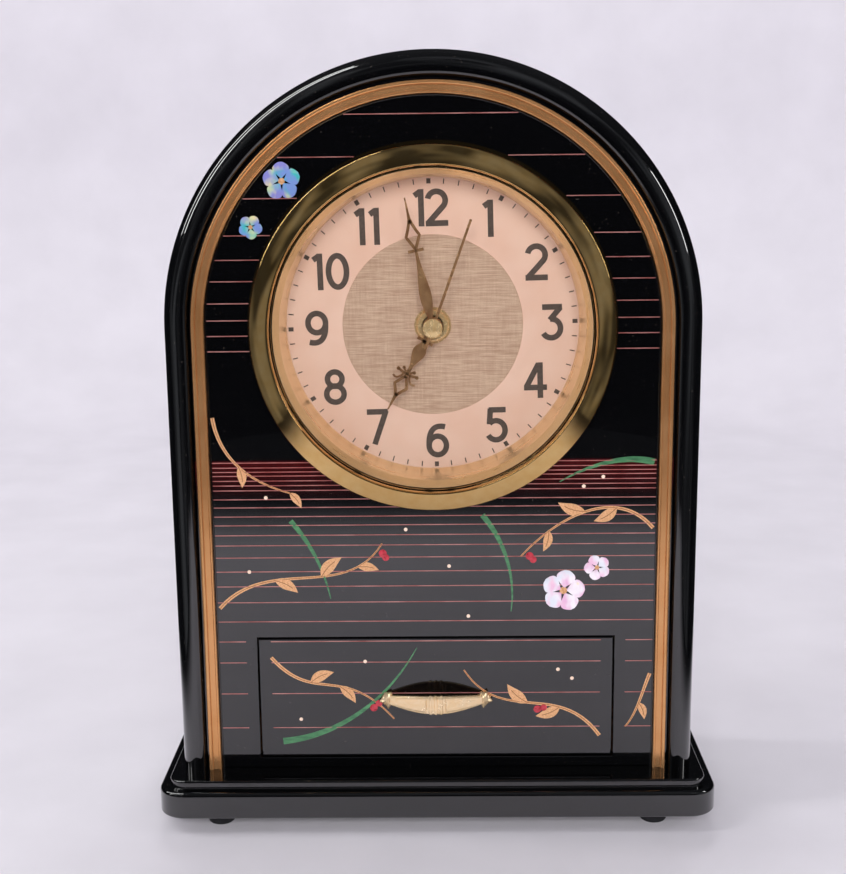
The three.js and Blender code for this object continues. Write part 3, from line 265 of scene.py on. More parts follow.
def lathe(profile, steps, centre, axis="y", bored=False):
    """The shell of a turned profile: from axis to axis, or a closed loop where the piece is bored."""
    return skin(turned(profile, steps, centre, axis), endless=bored, capped=False)


for place in ("front_left", "front_right", "back_left", "back_right"):
    low, high = span(f"foot_{place}")
    middle = (low + high) / 2
    wide = (high[0] - low[0]) / 2
    narrow = wide - FOOT_TAPER
    edge = arc((narrow - FOOT_ROUND, FOOT_ROUND), FOOT_ROUND, -90, 0, 6)
    profile = np.vstack([[[0, 0]], edge, [[wide, high[2]], [0, high[2]]]])
    foot = lathe(profile, 40, (*middle[:2], 0), "z")
    build(f"rubber_foot_{place}", [foot], rubber, "case", "foot_rubber", f"foot_{place}")

# Case shell: an arched frame bent from wood, with its front edge rolled over to a half round
# and rebates for the front panel and the rear cover. It is lacquered like the plinth.
case_low, case_high = span("case_shell")
CASE_RADIUS = case_high[0]
DIAL_Z = case_high[2] - CASE_RADIUS
BASE_TOP = plinth_high[2]
RIM_FRONT = case_low[1]
CASE_BACK = case_high[1]
PANEL_FRONT = span("front_panel")[0][1]
PANEL_BACK = span("front_panel")[1][1]
COVER_FRONT = span("rear_cover")[0][1]
REBATE_RADIUS = 99.3
SHOULDER_RADIUS = 94
RIM_ROUND = 8
RIM_INNER_ROUND = 2.6
BACK_ROUND = 1.5


def arch_sweep(section, steps=140):
    """(radius, depth) points carried up the left leg, round a half circle and down the right leg."""
    angles = np.linspace(0, np.pi, steps)[:, None]
    radius, depth = np.asarray(section, float).T
    depths = np.broadcast_to(depth, (steps, len(depth)))
    bow = np.stack([-radius * np.cos(angles), depths, DIAL_Z + radius * np.sin(angles)], axis=-1)
    foot = np.full_like(radius, BASE_TOP)
    left = np.stack([-radius, depth, foot], axis=-1)
    right = np.stack([radius, depth, foot], axis=-1)
    return np.concatenate([left[None], bow, right[None]])


rim_section = np.vstack([
    arc((CASE_RADIUS - BACK_ROUND, CASE_BACK - BACK_ROUND), BACK_ROUND, 90, 0, 6),
    arc((CASE_RADIUS - RIM_ROUND, RIM_FRONT + RIM_ROUND), RIM_ROUND, 0, -90, 18),
    arc((REBATE_RADIUS + RIM_INNER_ROUND, RIM_FRONT + RIM_INNER_ROUND), RIM_INNER_ROUND, 270, 180, 10),
    [[REBATE_RADIUS, PANEL_BACK], [SHOULDER_RADIUS, PANEL_BACK], [SHOULDER_RADIUS, COVER_FRONT],
     [REBATE_RADIUS, COVER_FRONT], [REBATE_RADIUS, CASE_BACK]],
])
build("arched_case", [skin(arch_sweep(rim_section))], case_lacquer,
      "case", "black_lacquered_wood", "case_shell")

# Front panel: a lacquered board let into the rim from the front, with a round hole for the bezel's tube
# and an opening for the drawer. A dark red shade lies under the closest stripes and fades downwards.
panel_lacquer = black_lacquer("black_lacquer_with_red_shade")
SHADE_TOP = 157.5
SHADE_LOW = 141
SHADE_EDGE = 0.4
tree = panel_lacquer.node_tree
place = add_node(tree, "TexCoord", {}).outputs["Object"]
height = add_node(tree, "SeparateXYZ", {"Vector": place}).outputs["Z"]
below_top = add_node(tree, "MapRange",
                     {"Value": height, "From Min": (SHADE_TOP + SHADE_EDGE) * MM, "From Max": SHADE_TOP * MM})
fading = add_node(tree, "MapRange",
                  {"Value": height, "From Min": SHADE_LOW * MM, "From Max": SHADE_TOP * MM, "To Max": 0.8})
shade = add_node(tree, "Math", {0: below_top, 1: fading}, operation="MULTIPLY")
lacquer_shader = tree.nodes["Principled BSDF"]
plain = lacquer_shader.inputs["Base Color"].links[0].from_socket
shaded = add_node(tree, "Mix", {0: shade, 6: plain, 7: linear("#440406")}, data_type="RGBA")
tree.links.new(shaded.outputs[2], lacquer_shader.inputs["Base Color"])
PANEL_RADIUS = 99
PANEL_HOLE = 66.4
OPENING_HALF = 75.8
OPENING_LOW = 26.4
OPENING_HIGH = 80.9
PANEL_EDGE = 0.35
LIP_CENTRE = 92.3
LIP_ROUND = 0.4
FLAT_CREASE = 12


def circle(radius, centre=(0, 0), steps=144):
    """Points on a circle: radius (cos a, sin a) about its centre."""
    angles = np.arange(steps) * 2 * np.pi / steps
    return np.asarray(centre) + radius * np.stack([np.cos(angles), np.sin(angles)], axis=-1)


def cut_plate(loops, front, back, edge):
    """A flat plate with closed (x, z) outlines, a rim and its holes, filled by Blender's curve tools.

    The curve is extruded by half the thickness, and a quarter round of the edge's radius is rolled along it.
    """
    curve = bpy.data.curves.new("outline", "CURVE")
    curve.dimensions = "2D"
    curve.fill_mode = "BOTH"
    curve.extrude = (back - front) / 2 - edge
    curve.bevel_depth = edge
    curve.bevel_resolution = 2
    curve.offset = -edge
    for loop in loops:
        spline = curve.splines.new("POLY")
        spline.points.add(len(loop) - 1)
        points = np.column_stack([loop, np.zeros(len(loop)), np.ones(len(loop))])
        spline.points.foreach_set("co", points.ravel())
        spline.use_cyclic_u = True
    holder = bpy.data.objects.new("outline", curve)
    mesh = bpy.data.meshes.new_from_object(holder)
    flat = np.empty(len(mesh.vertices) * 3)
    mesh.vertices.foreach_get("co", flat)
    flat = flat.reshape(-1, 3)
    faces = [list(polygon.vertices) for polygon in mesh.polygons]
    bpy.data.objects.remove(holder)
    bpy.data.curves.remove(curve)
    bpy.data.meshes.remove(mesh)
    return np.column_stack([flat[:, 0], (front + back) / 2 + flat[:, 2], flat[:, 1]]), faces


def arch_outline(radius):
    """An arch as (x, z) points: a half circle on two straight legs."""
    return np.vstack([[[radius, BASE_TOP]], arc((0, DIAL_Z), radius, 0, 180, 120), [[-radius, BASE_TOP]]])


def rectangle(half, low, high):
    """A rectangle as (x, z) points, centred on x = 0."""
    return np.array([[-half, low], [half, low], [half, high], [-half, high]], float)


panel_loops = [arch_outline(PANEL_RADIUS), circle(PANEL_HOLE, (0, DIAL_Z)),
               rectangle(OPENING_HALF, OPENING_LOW, OPENING_HIGH)]
build("lacquered_panel", [cut_plate(panel_loops, PANEL_FRONT, PANEL_BACK, PANEL_EDGE)], panel_lacquer,
      "case", "black_lacquered_wood", "front_panel", crease=FLAT_CREASE)
lip_section = arc((LIP_CENTRE, PANEL_FRONT), LIP_ROUND, 0, -180, 9)
build("lacquer_lip", [skin(arch_sweep(lip_section))], case_lacquer, "case", "black_lacquered_wood")

# Stripes: hair-thin lines of red foil ink, printed level across the panel and the drawer.
# They stand closest below the dial and spread out downwards, and again upwards beside it.
# The ink gives the eye a dull pink-red line that glints a little and fades in places.
red_ink = mottled("red_foil_ink", "#98534f", "#c48a84", 9, (0.34, 0.42), Metallic=0.35)
STRIPE_WIDTH = 0.38
INK_HEIGHT = 0.05
STRIPE_END = 91.8
BEZEL_EDGE = 75.2
UPPER_START = 203.4
UPPER_GAPS = (6.3, 6.3, 6.9, 8.9, 8.6, 9.7, 14.6, 16, 16.4)
LOWER_START = 156.9
LOWER_GAPS = (2.1, 1.8, 1.7, 2.1, 2, 2.1, 3.8, 3.5, 3.9, 3.8, 4.3, 4.4, 5.3, 6.1, 6.5, 7, 8.5, 8.9, 9.4,
              14, 15.5)
DRAWER_STRIPE_END = 70
STILE_STRIPE_START = 80.5


def bar(left, right, low, high, front, back):
    """A block between two corners as a (2, 4, 3) grid: one rectangle at its left end and one at its right."""
    corners = np.array([[front, low], [back, low], [back, high], [front, high]], float)
    ends = [np.column_stack([np.full(4, x), corners]) for x in (left, right)]
    return skin(np.stack(ends))


def stripe(left, right, height):
    """One stripe of ink on the panel's front, centred on its height."""
    half = STRIPE_WIDTH / 2
    return bar(left, right, height - half, height + half, PANEL_FRONT - INK_HEIGHT, PANEL_FRONT)


stripe_heights = np.concatenate([
    UPPER_START + np.cumsum((0,) + UPPER_GAPS), LOWER_START - np.cumsum((0,) + LOWER_GAPS)])
panel_stripes = []
drawer_stripes = []
for height in stripe_heights:
    rise = max(height - DIAL_Z, 0)
    end = math.sqrt(STRIPE_END ** 2 - rise ** 2)
    inner = math.sqrt(max(BEZEL_EDGE ** 2 - (height - DIAL_Z) ** 2, 0))
    if height < OPENING_HIGH:
        inner = STILE_STRIPE_START
        drawer_stripes.append(stripe(-DRAWER_STRIPE_END, DRAWER_STRIPE_END, height))
    if inner > 0:
        panel_stripes += [stripe(-end, -inner, height), stripe(inner, end, height)]
    else:
        panel_stripes.append(stripe(-end, end, height))
build("panel_stripes", panel_stripes, red_ink, "case", "black_lacquered_wood")
build("drawer_stripes", drawer_stripes, red_ink, "drawer", "black_lacquered_wood")

# Sprigs: painted ornament of curved stems with pointed leaves, berries, blades and blossoms.
# Gold powder is dusted on wet lacquer, and the blossoms are cut from mother-of-pearl.
# The powder gives a grainy satin gold, the paints a soft gloss with brush marks in them.
gold_powder = mottled("dusted_gold_powder", "#cd9361", "#efbf92", 0.7, (0.36, 0.48), depth_mm=0.02,
                      Metallic=0.3)
berry_red = mottled("red_lacquer_paint", "#8f1626", "#c23a48", 1.5, (0.25, 0.35), Coat_Weight=0.5)
blade_green = mottled("green_lacquer_paint", "#27583a", "#4f8a5c", 1.6, (0.3, 0.4), stretch=(0.3, 1, 1),
                      Coat_Weight=0.5)
vein_brown = mottled("brown_lacquer_paint", "#8a5228", "#a56a3c", 1.2, (0.3, 0.4))
pale_paint = mottled("cream_lacquer_paint", "#e2c3aa", "#f6dfcc", 0.8, (0.35, 0.45))


def pearl(name, colours, size_mm):
    """Mother-of-pearl: thin shell that gives the eye bands of shifting tints under a clear gloss.

    Two noises of size_mm pick between four tints.
    """
    material, tree = finish(name)
    place = add_node(tree, "TexCoord", {}).outputs["Object"]
    shares = []
    for stretch, size in (((1, 1, 0.6), size_mm), ((0.5, 1, 1), 1.7 * size_mm)):
        scaled = add_node(tree, "Mapping", {"Vector": place, "Scale": stretch})
        noise = add_node(tree, "TexNoise", {"Vector": scaled, "Scale": 1 / (size * MM)})
        banded = add_node(tree, "MapRange", {"Value": noise, "From Min": 0.42, "From Max": 0.58})
        shares.append(banded)
    tints = [linear(code) for code in colours]
    warm = add_node(tree, "Mix", {0: shares[0], 6: tints[0], 7: tints[1]}, data_type="RGBA")
    cold = add_node(tree, "Mix", {0: shares[0], 6: tints[2], 7: tints[3]}, data_type="RGBA")
    colour = add_node(tree, "Mix", {0: shares[1], 6: warm, 7: cold}, data_type="RGBA")
    shader = add_node(tree, "BsdfPrincipled",
                      {"Base Color": colour, "Roughness": 0.22, "Metallic": 0.25, "Coat Weight": 1.0})
    add_node(tree, "OutputMaterial", {"Surface": shader})
    return material


bright_pearl = pearl("abalone_shell", ("#efe3a8", "#8f8fd8", "#2ec7bd", "#7f9fe0"), 5)
pink_pearl = pearl("pink_shell", ("#f4ecf2", "#e6b4d6", "#dfe4ee", "#f3c9dd"), 5)
PAINT_HEIGHT = 0.06
PAINT_LIFT = 0.02
VEIN_HALF = 0.16
VEIN_POINTS = 18
LEAF_BEND = 0.08
LEAF_ANGLE = 38
LEAF_WIDTH = 0.42
BERRIES = ((2.6, 0, 1.7), (2.2, 2.6, 1.5))
BLADE_TIP = 0.2
DOT_RADIUS = 0.8
HEART_SHARE = 0.18
HEART_HEIGHT = 0.4


def bezier(start, lean, pull, stop, count=28):
    """Cubic curve (1-t)^3 a + 3 t (1-t)^2 b + 3 t^2 (1-t) c + t^3 d, as (count, 2) points."""
    t = np.linspace(0, 1, count)[:, None]
    corners = [np.asarray(corner, float) for corner in (start, lean, pull, stop)]
    weights = ((1 - t) ** 3, 3 * t * (1 - t) ** 2, 3 * t ** 2 * (1 - t), t ** 3)
    return sum(weight * corner for weight, corner in zip(weights, corners))


def strip(path, across, depth, endless=False):
    """Sections carried along (x, z) points: each moves sideways by across, square to the path, at its depth."""
    if endless:
        step = np.roll(path, -1, axis=0) - np.roll(path, 1, axis=0)
    else:
        step = np.gradient(path, axis=0)
    side = np.stack([-step[:, 1], step[:, 0]], axis=-1) / np.linalg.norm(step, axis=1, keepdims=True)
    flat = path[:, None] + side[:, None] * across[..., None]
    grid = np.stack([flat[..., 0], np.broadcast_to(depth, across.shape), flat[..., 1]], axis=-1)
    return skin(grid, endless=endless, capped=not endless)


def ribbon(path, half_width, base, height, crown=0.4, endless=False):
    """A strip from edge to edge of its half width, flat at depth base and raised towards the front.

    crown is the share of the height by which its middle stands over its edges.
    """
    across = np.broadcast_to(half_width, len(path))[:, None] * np.array([-1, -1, 0, 1, 1])
    return strip(path, across, base - height * np.array([0, 1 - crown, 1, 1 - crown, 0]), endless)


def stem(curve, root, tip):
    """A stem that tapers along its curve from its root's half width to its tip's."""
    return ribbon(curve, np.linspace(root, tip, len(curve)), PANEL_FRONT, PAINT_HEIGHT)


def leaf(base, degrees, length, width):
    """An almond leaf and its vein: half as wide as width sin(pi t^0.8), on a line that bends to one side."""
    t = np.linspace(0, 1, 24)
    turn = math.radians(degrees)
    line = length * np.stack([t, LEAF_BEND * np.sin(np.pi * t)], axis=-1)
    spin = np.array([[math.cos(turn), math.sin(turn)], [-math.sin(turn), math.cos(turn)]])
    line = np.asarray(base) + line @ spin
    half = width / 2 * np.sin(np.pi * t ** 0.8) + 0.02
    blade = ribbon(line, half, PANEL_FRONT - PAINT_LIFT, 2 * PAINT_HEIGHT, 0.6)
    return blade, ribbon(line[:VEIN_POINTS], VEIN_HALF, PANEL_FRONT - 2 * PAINT_HEIGHT, PAINT_HEIGHT)


def drop(centre, radius, height=0.25):
    """A low dome of paint: a quarter ellipse turned about Y."""
    dome = arc((0, PANEL_FRONT), (radius, height), -90, 0, 7)
    return lathe(np.vstack([dome, [[0, PANEL_FRONT]]]), 20, (centre[0], 0, centre[1]))


def blossom(centre, radius, turn):
    """Five petals round a centre: each is a ribbon from 0.16 of the radius out, widest near its tip."""
    t = np.linspace(0, 1, 16)
    petals = []
    for number in range(5):
        angle = math.radians(turn + 72 * number)
        reach = radius * (0.16 + 0.84 * t)[:, None] * np.array([math.cos(angle), math.sin(angle)])
        half = 0.44 * radius * np.sin(np.pi * t ** 1.3 * 0.93 + 0.05) ** 0.8
        petals.append(ribbon(np.asarray(centre) + reach, half, PANEL_FRONT - PAINT_LIFT, 0.2, 0.5))
    return petals


def sprig(curve, leaves, berries):
    """Shells of one sprig: a stem, leaves as (share along it, side, length), berries as (share, side)."""
    gold = [stem(curve, 0.8, 0.3)]
    veins = [ribbon(curve, VEIN_HALF, PANEL_FRONT, 2 * PAINT_HEIGHT)]
    red = []
    heading = np.degrees(np.arctan2(*np.gradient(curve, axis=0).T[::-1]))
    for share, side, length in leaves:
        at = int(share * (len(curve) - 1))
        blade, vein = leaf(curve[at], heading[at] + side * LEAF_ANGLE, length, length * LEAF_WIDTH)
        gold.append(blade)
        veins.append(vein)
    for share, side in berries:
        at = int(share * (len(curve) - 1))
        turn = math.radians(heading[at] + side * 90)
        reach = np.array([math.cos(turn), math.sin(turn)])
        red += [drop(curve[at] + reach * out - reach[::-1] * down, radius) for out, down, radius in BERRIES]
    return gold, veins, red


PANEL_SPRIGS = (
    (bezier((91, 128), (76, 146), (52, 134), (36, 116)), ((0.3, 1, 11), (0.55, -1, 12), (0.8, 1, 9)),
     ((0.97, 1),)),
    (bezier((-91, 94), (-70, 118), (-38, 96), (-22, 122)), ((0.35, -1, 11), (0.6, 1, 12), (0.85, -1, 9)),
     ((0.98, -1),)),
    (bezier((-91, 176), (-89, 160), (-78, 149), (-60, 144)), ((0.55, -1, 9), (1, -1, 8)), ()),
    (bezier((91, 64), (88, 56), (86, 46), (81, 40)), ((0.55, 1, 8),), ()),
)
DRAWER_SPRIGS = (
    (bezier((70, 36), (52, 62), (28, 40), (12, 66)), ((0.3, 1, 11), (0.55, -1, 12), (0.8, 1, 10)),
     ((0.45, 1),)),
    (bezier((-70, 72), (-52, 50), (-40, 70), (-18, 44)), ((0.35, 1, 11), (0.62, -1, 10)), ((0.9, -1),)),
)
PANEL_BLADES = (
    (bezier((91, 156), (78, 160), (62, 154), (52, 148)), 1.5),
    (bezier((-60, 132), (-50, 120), (-46, 108), (-44, 98)), 1.1),
    (bezier((20, 134), (30, 122), (34, 106), (32, 92)), 1.2),
)
DRAWER_BLADES = ((bezier((-66, 34), (-44, 36), (-22, 50), (-8, 76)), 1.5),)
PANEL_DOTS = ((70, 150), (62, 146), (-78, 110), (-12, 128), (6, 112), (60, 104), (-70, 142), (14, 90))
DRAWER_DOTS = ((58, 62), (52, 66), (-58, 44), (-30, 70))
for where, body, sprigs, blades, dots in (("panel", "case", PANEL_SPRIGS, PANEL_BLADES, PANEL_DOTS),
                                          ("drawer", "drawer", DRAWER_SPRIGS, DRAWER_BLADES, DRAWER_DOTS)):
    gold, veins, red = (sum(shells, []) for shells in zip(*(sprig(*parts) for parts in sprigs)))
    green = [stem(curve, root, BLADE_TIP) for curve, root in blades]
    build(f"{where}_gold_sprigs", gold, gold_powder, body, "gilt_metal")
    build(f"{where}_brown_veins", veins, vein_brown, body, "black_lacquered_wood")
    build(f"{where}_red_berries", red, berry_red, body, "black_lacquered_wood")
    build(f"{where}_green_blades", green, blade_green, body, "black_lacquered_wood")
    build(f"{where}_pale_dots", [drop(dot, DOT_RADIUS) for dot in dots], pale_paint, body, "cream_paint")
BRIGHT_BLOSSOMS = (((-59.5, 271.5), 7.5, 20), ((-72.5, 253.5), 4.8, 60))
PINK_BLOSSOMS = (((54, 101), 9, 8), ((68, 111), 5.5, 40))
for name, blossoms, shell_material in (("abalone_blossom", BRIGHT_BLOSSOMS, bright_pearl),
                                       ("pink_blossom", PINK_BLOSSOMS, pink_pearl)):
    petals = [petal for flower in blossoms for petal in blossom(*flower)]
    build(name, petals, shell_material, "case", "cream_paint")
hearts = [drop(centre, HEART_SHARE * radius, HEART_HEIGHT)
          for centre, radius, turn in BRIGHT_BLOSSOMS + PINK_BLOSSOMS]
build("blossom_hearts", hearts, gold_powder, "case", "gilt_metal")

# Trim bead: a strip of gilt metal with a rolled edge on either side, bent to the arch, laid on the panel
# just inside the rim and pinned at both feet.
# The thin gilding gives a warm orange gold with soft-edged reflections and faint cloudy places.
gilt_bead = mottled("gilt_bead", "#d99c63", "#e6ac74", 14, (0.2, 0.26), detail=2.0, Metallic=0.75)
BEAD_INNER = 92.8
BEAD_OUTER = 98
OUTER_ROLL = 0.9
INNER_ROLL = 0.55
OUTER_ROLL_FRONT = PANEL_FRONT - 2.6
INNER_ROLL_FRONT = PANEL_FRONT - 2.2
BEAD_FLOOR = PANEL_FRONT - 1.5
bead_section = np.vstack([
    [[BEAD_OUTER, PANEL_FRONT]],
    arc((BEAD_OUTER - OUTER_ROLL, OUTER_ROLL_FRONT + OUTER_ROLL), OUTER_ROLL, 0, -170, 16),
    [[BEAD_OUTER - 2 * OUTER_ROLL, BEAD_FLOOR], [BEAD_INNER + 2 * INNER_ROLL, BEAD_FLOOR]],
    arc((BEAD_INNER + INNER_ROLL, INNER_ROLL_FRONT + INNER_ROLL), INNER_ROLL, -10, -180, 12),
    [[BEAD_INNER, PANEL_FRONT]],
])
build("gilt_bead", [skin(arch_sweep(bead_section))], gilt_bead, "case", "gilt_metal", "trim_bead", crease=30)

# Bezel: a ring spun from sheet brass and gilt, with a thin flange on the panel, an upright wall,
# a sloped band, a rolled crest round the glass and a tube behind that goes through the panel.
# The polish gives a clear greenish-gold mirror with faint smears from handling.
gilt = mottled("polished_gilt_brass", "#d6ad6c", "#deba7d", 5, (0.06, 0.1), detail=4.0, Metallic=1.0)
DIAL_CENTRE = (0, 0, DIAL_Z)
bezel_low, bezel_high = span("bezel_ring")
BEZEL_RADIUS = bezel_high[0]
CREST_FRONT = bezel_low[1]
TUBE_BACK = bezel_high[1]
FLANGE = 0.8
WALL_RADIUS = BEZEL_RADIUS - 1.6
WALL_ROUND = 0.8
EDGE_TILT = 31
CREST_TILT = 18
CREST_CENTRE = 66
CREST_ROUND = 0.45
LENS_SEAT = 65.1
SEAT_DEPTH = 1
LENS_BACK = span("lens")[1][1]
LEDGE_RADIUS = 64.6
LEDGE_BACK = LENS_BACK + 1.2
TUBE_BORE = 64.4
TUBE_RADIUS = 66.1


def bezel_profile():
    """(radius, depth) points: flange, wall, rounded edge, band, crest roll, lens seat and tube.

    The band's tilt eases from the edge to the crest, and its depth is the running sum of the tilt's tangent.
    """
    roll = arc((CREST_CENTRE, CREST_FRONT + CREST_ROUND), CREST_ROUND, CREST_TILT - 90, -170, 10)
    edge = arc((WALL_RADIUS - WALL_ROUND, 0), WALL_ROUND, 0, EDGE_TILT - 90, 7)
    radius = np.linspace(edge[-1, 0], roll[0, 0], 24)
    tilt = np.radians(np.linspace(EDGE_TILT, CREST_TILT, 24))
    rises = np.tan((tilt[1:] + tilt[:-1]) / 2) * -np.diff(radius)
    depth = roll[0, 1] + np.append(np.cumsum(rises[::-1])[::-1], 0)
    edge[:, 1] += depth[0] - edge[-1, 1]
    flange = [[BEZEL_RADIUS, PANEL_FRONT], [BEZEL_RADIUS, PANEL_FRONT - FLANGE],
              [WALL_RADIUS, PANEL_FRONT - FLANGE]]
    inside = [[LENS_SEAT, CREST_FRONT + SEAT_DEPTH], [LENS_SEAT, LENS_BACK], [LEDGE_RADIUS, LENS_BACK],
              [TUBE_BORE, LEDGE_BACK], [TUBE_BORE, TUBE_BACK], [TUBE_RADIUS, TUBE_BACK],
              [TUBE_RADIUS, PANEL_FRONT]]
    return np.vstack([flange, edge, np.stack([radius, depth], axis=-1)[1:-1], roll, inside])


build("gilt_bezel", [lathe(bezel_profile(), 220, DIAL_CENTRE, bored=True)], gilt,
      "case", "gilt_metal", "bezel_ring")

# Reflector: a gilt ring of two cones between the glass and the dial, pressed from thin sheet.
# The bright gilding gives a soft mirror, which repeats the dial's paint and its outer marks.
bright_gilt = mottled("bright_gilt_sheet", "#f4d6a2", "#f9e2b8", 9, (0.26, 0.34), stretch=(0.3, 2, 0.3),
                      Metallic=0.85)
DIAL_FRONT = span("dial_plate")[0][1]
reflector_high = span("reflector_ring")[1]
REFLECTOR_MOUTH = 64.1
REFLECTOR_WAIST = 61.9
WAIST_FRONT = -37.6
REFLECTOR_FOOT = 60.5
THINNEST_WALL = 0.1
reflector_outside = max(reflector_high[0], REFLECTOR_MOUTH + THINNEST_WALL)
reflector_profile = [[REFLECTOR_MOUTH, LEDGE_BACK], [REFLECTOR_WAIST, WAIST_FRONT],
                     [REFLECTOR_FOOT, DIAL_FRONT], [reflector_outside, DIAL_FRONT],
                     [reflector_outside, LEDGE_BACK]]
build("gilt_reflector", [lathe(reflector_profile, 180, DIAL_CENTRE, bored=True)], bright_gilt,
      "case", "gilt_metal", "reflector_ring", crease=15)

# Lens: a flat disc of clear glass with a ground edge, dropped into the bezel's seat.
# It mirrors a little, more at a slant, and lets the rest of the light straight through.
lens_glass, tree = finish("clear_glass")
place = add_node(tree, "TexCoord", {}).outputs["Object"]
smears = add_node(tree, "TexNoise", {"Vector": place, "Scale": 1 / (30 * MM), "Detail": 4.0})
wiped = add_node(tree, "MapRange", {"Value": smears, "To Min": 0.0, "To Max": 0.05})
fresnel = add_node(tree, "Fresnel", {"IOR": 1.5})
behind = add_node(tree, "NewGeometry", {})
outward = add_node(tree, "Math", {0: 1.0, 1: behind.outputs["Backfacing"]}, operation="SUBTRACT")
shine = add_node(tree, "Math", {0: fresnel, 1: outward}, operation="MULTIPLY")
clear = add_node(tree, "BsdfTransparent", {"Color": linear("#f9fbfa")})
mirror = add_node(tree, "BsdfGlossy", {"Roughness": wiped})
mixed = add_node(tree, "MixShader", {0: shine, 1: clear, 2: mirror})
add_node(tree, "OutputMaterial", {"Surface": mixed})
LENS_FRONT = span("lens")[0][1]
LENS_RADIUS = span("lens")[1][0]
LENS_EDGE = 0.3
lens_profile = [[0, LENS_FRONT], [LENS_RADIUS - LENS_EDGE, LENS_FRONT], [LENS_RADIUS, LENS_FRONT + LENS_EDGE],
                [LENS_RADIUS, LENS_BACK - LENS_EDGE], [LENS_RADIUS - LENS_EDGE, LENS_BACK], [0, LENS_BACK]]
build("glass_lens", [lathe(lens_profile, 128, DIAL_CENTRE)], lens_glass, "case", "glass", "lens")

# Dial: a thin disc of aluminium painted a warm cream, with printed numerals and minute marks.
# The print is a flat brown-grey ink, one hair thick.
# The sprayed paint gives an even satin with a hint of orange peel, the ink a slightly rubbed dull line.
dial_paint = mottled("cream_dial_paint", "#e9baa5", "#efc5b2", 16, (0.42, 0.52), depth_mm=0.01,
                     Specular_IOR_Level=0.35)
dial_ink = mottled("brown_grey_dial_ink", "#524540", "#63544d", 1.1, (0.45, 0.65), Specular_IOR_Level=0.3)
DIAL_RADIUS, DIAL_BACK = span("dial_plate")[1][:2]
STEM_HOLE = 4.3
dial_profile = [[STEM_HOLE, DIAL_FRONT], [DIAL_RADIUS, DIAL_FRONT], [DIAL_RADIUS, DIAL_BACK],
                [STEM_HOLE, DIAL_BACK]]
build("painted_dial", [lathe(dial_profile, 144, DIAL_CENTRE, bored=True)], dial_paint,
      "case", "cream_paint", "dial_plate")
PRINT_HEIGHT = 0.05
LAYER = 0.012
NUMERAL_RADIUS = 48.7
NUMERAL_STROKE = 2.35


def set_clock(shell, turn):
    """Turns a shell clockwise about the dial's axis, seen from the front, and lifts it to the dial."""
    points, faces = shell
    x, y, z = points.T
    turned_x = x * math.cos(turn) + z * math.sin(turn)
    turned_z = z * math.cos(turn) - x * math.sin(turn)
    return np.stack([turned_x, y, turned_z + DIAL_Z], axis=-1), faces


def bowl(x, z, across, up, start, stop, count=40):
    """The round of a numeral: part of an ellipse about (x, z), from one angle to another in degrees."""
    return arc((x, z), (across, up), start, stop, count)


def line(*corners):
    """A straight stroke through two corners."""
    return np.array(corners, float)


def pen_stroke(stroke, layer):
    """A printed stroke, a layer higher than the one before. One that ends where it starts is closed."""
    closed = np.allclose(stroke[0], stroke[-1])
    path = stroke[:-1] if closed else stroke
    return ribbon(path, NUMERAL_STROKE / 2, DIAL_FRONT, PRINT_HEIGHT + layer * LAYER, 0, closed)


SIX = [bowl(0, -2.4, 3.65, 4.0, 0, 360), bezier((-3.6, -2.2), (-3.75, 3.4), (-1.7, 6.9), (3.3, 5.5))]
DIGITS = {
    "0": [bowl(0, 0, 3.7, 6.4, 0, 360, 60)],
    "1": [line((1.1, -7.5), (1.1, 7.5)), line((0.8, 6.5), (-1.6, 4.9))],
    "2": [np.vstack([bowl(0, 2.8, 3.6, 3.6, 168, -40), [(-3.3, -6.0)]]), line((-4.6, -6.4), (4.6, -6.4))],
    "3": [line((-4.0, 6.4), (4.2, 6.4)), line((3.6, 6.2), (-0.9, 1.0)), bowl(-0.3, -2.5, 3.8, 3.9, 98, -150)],
    "4": [line((1.9, 7.5), (1.9, -7.5)), line((1.3, 7.0), (-3.8, -2.6)), line((-4.9, -3.0), (4.7, -3.0))],
    "5": [line((-3.2, 6.4), (3.9, 6.4)), line((-2.5, 7.0), (-3.0, 0.3)), bowl(-0.3, -2.3, 3.8, 4.1, 136, -150)],
    "6": SIX,
    "7": [line((-4.4, 6.4), (4.4, 6.4)), line((3.7, 6.8), (-1.5, -7.5))],
    "8": [bowl(0, 3.35, 3.05, 3.05, 0, 360), bowl(0, -2.95, 3.65, 3.45, 0, 360)],
    "9": [-stroke for stroke in SIX],
}
PAIR_SHIFT = {10: (-5.6, 2.7), 11: (-2.95, 2.95), 12: (-4.9, 2.5)}
NUMERAL_NUDGE = {1: (-0.6, 0.8), 2: (1.1, 0.4), 3: (0.6, -0.3), 5: (1.2, -0.6), 6: (0.6, 0.2), 8: (0.6, -0.4),
                 9: (0.7, -0.1), 10: (1, -1), 11: (-1.4, -1), 12: (0.5, -0.6)}
DIAL_TURN = math.radians(-1.2)
numerals = []
for hour in range(1, 13):
    angle = math.radians(30 * hour)
    spot = NUMERAL_RADIUS * np.array([math.sin(angle), math.cos(angle)]) + NUMERAL_NUDGE.get(hour, (0, 0))
    for digit, shift in zip(str(hour), PAIR_SHIFT.get(hour, (0,))):
        numerals += [pen_stroke(stroke + spot + [shift, 0], layer)
                     for layer, stroke in enumerate(DIGITS[digit])]
build("dial_numerals", [set_clock(shell, DIAL_TURN) for shell in numerals], dial_ink, "case", "cream_paint")
MARK_RADIUS = 58.8
MARK_LENGTH = 2.1
MINUTE_MARK_HALF = 0.23
HOUR_MARK_HALF = 0.85
marks = []
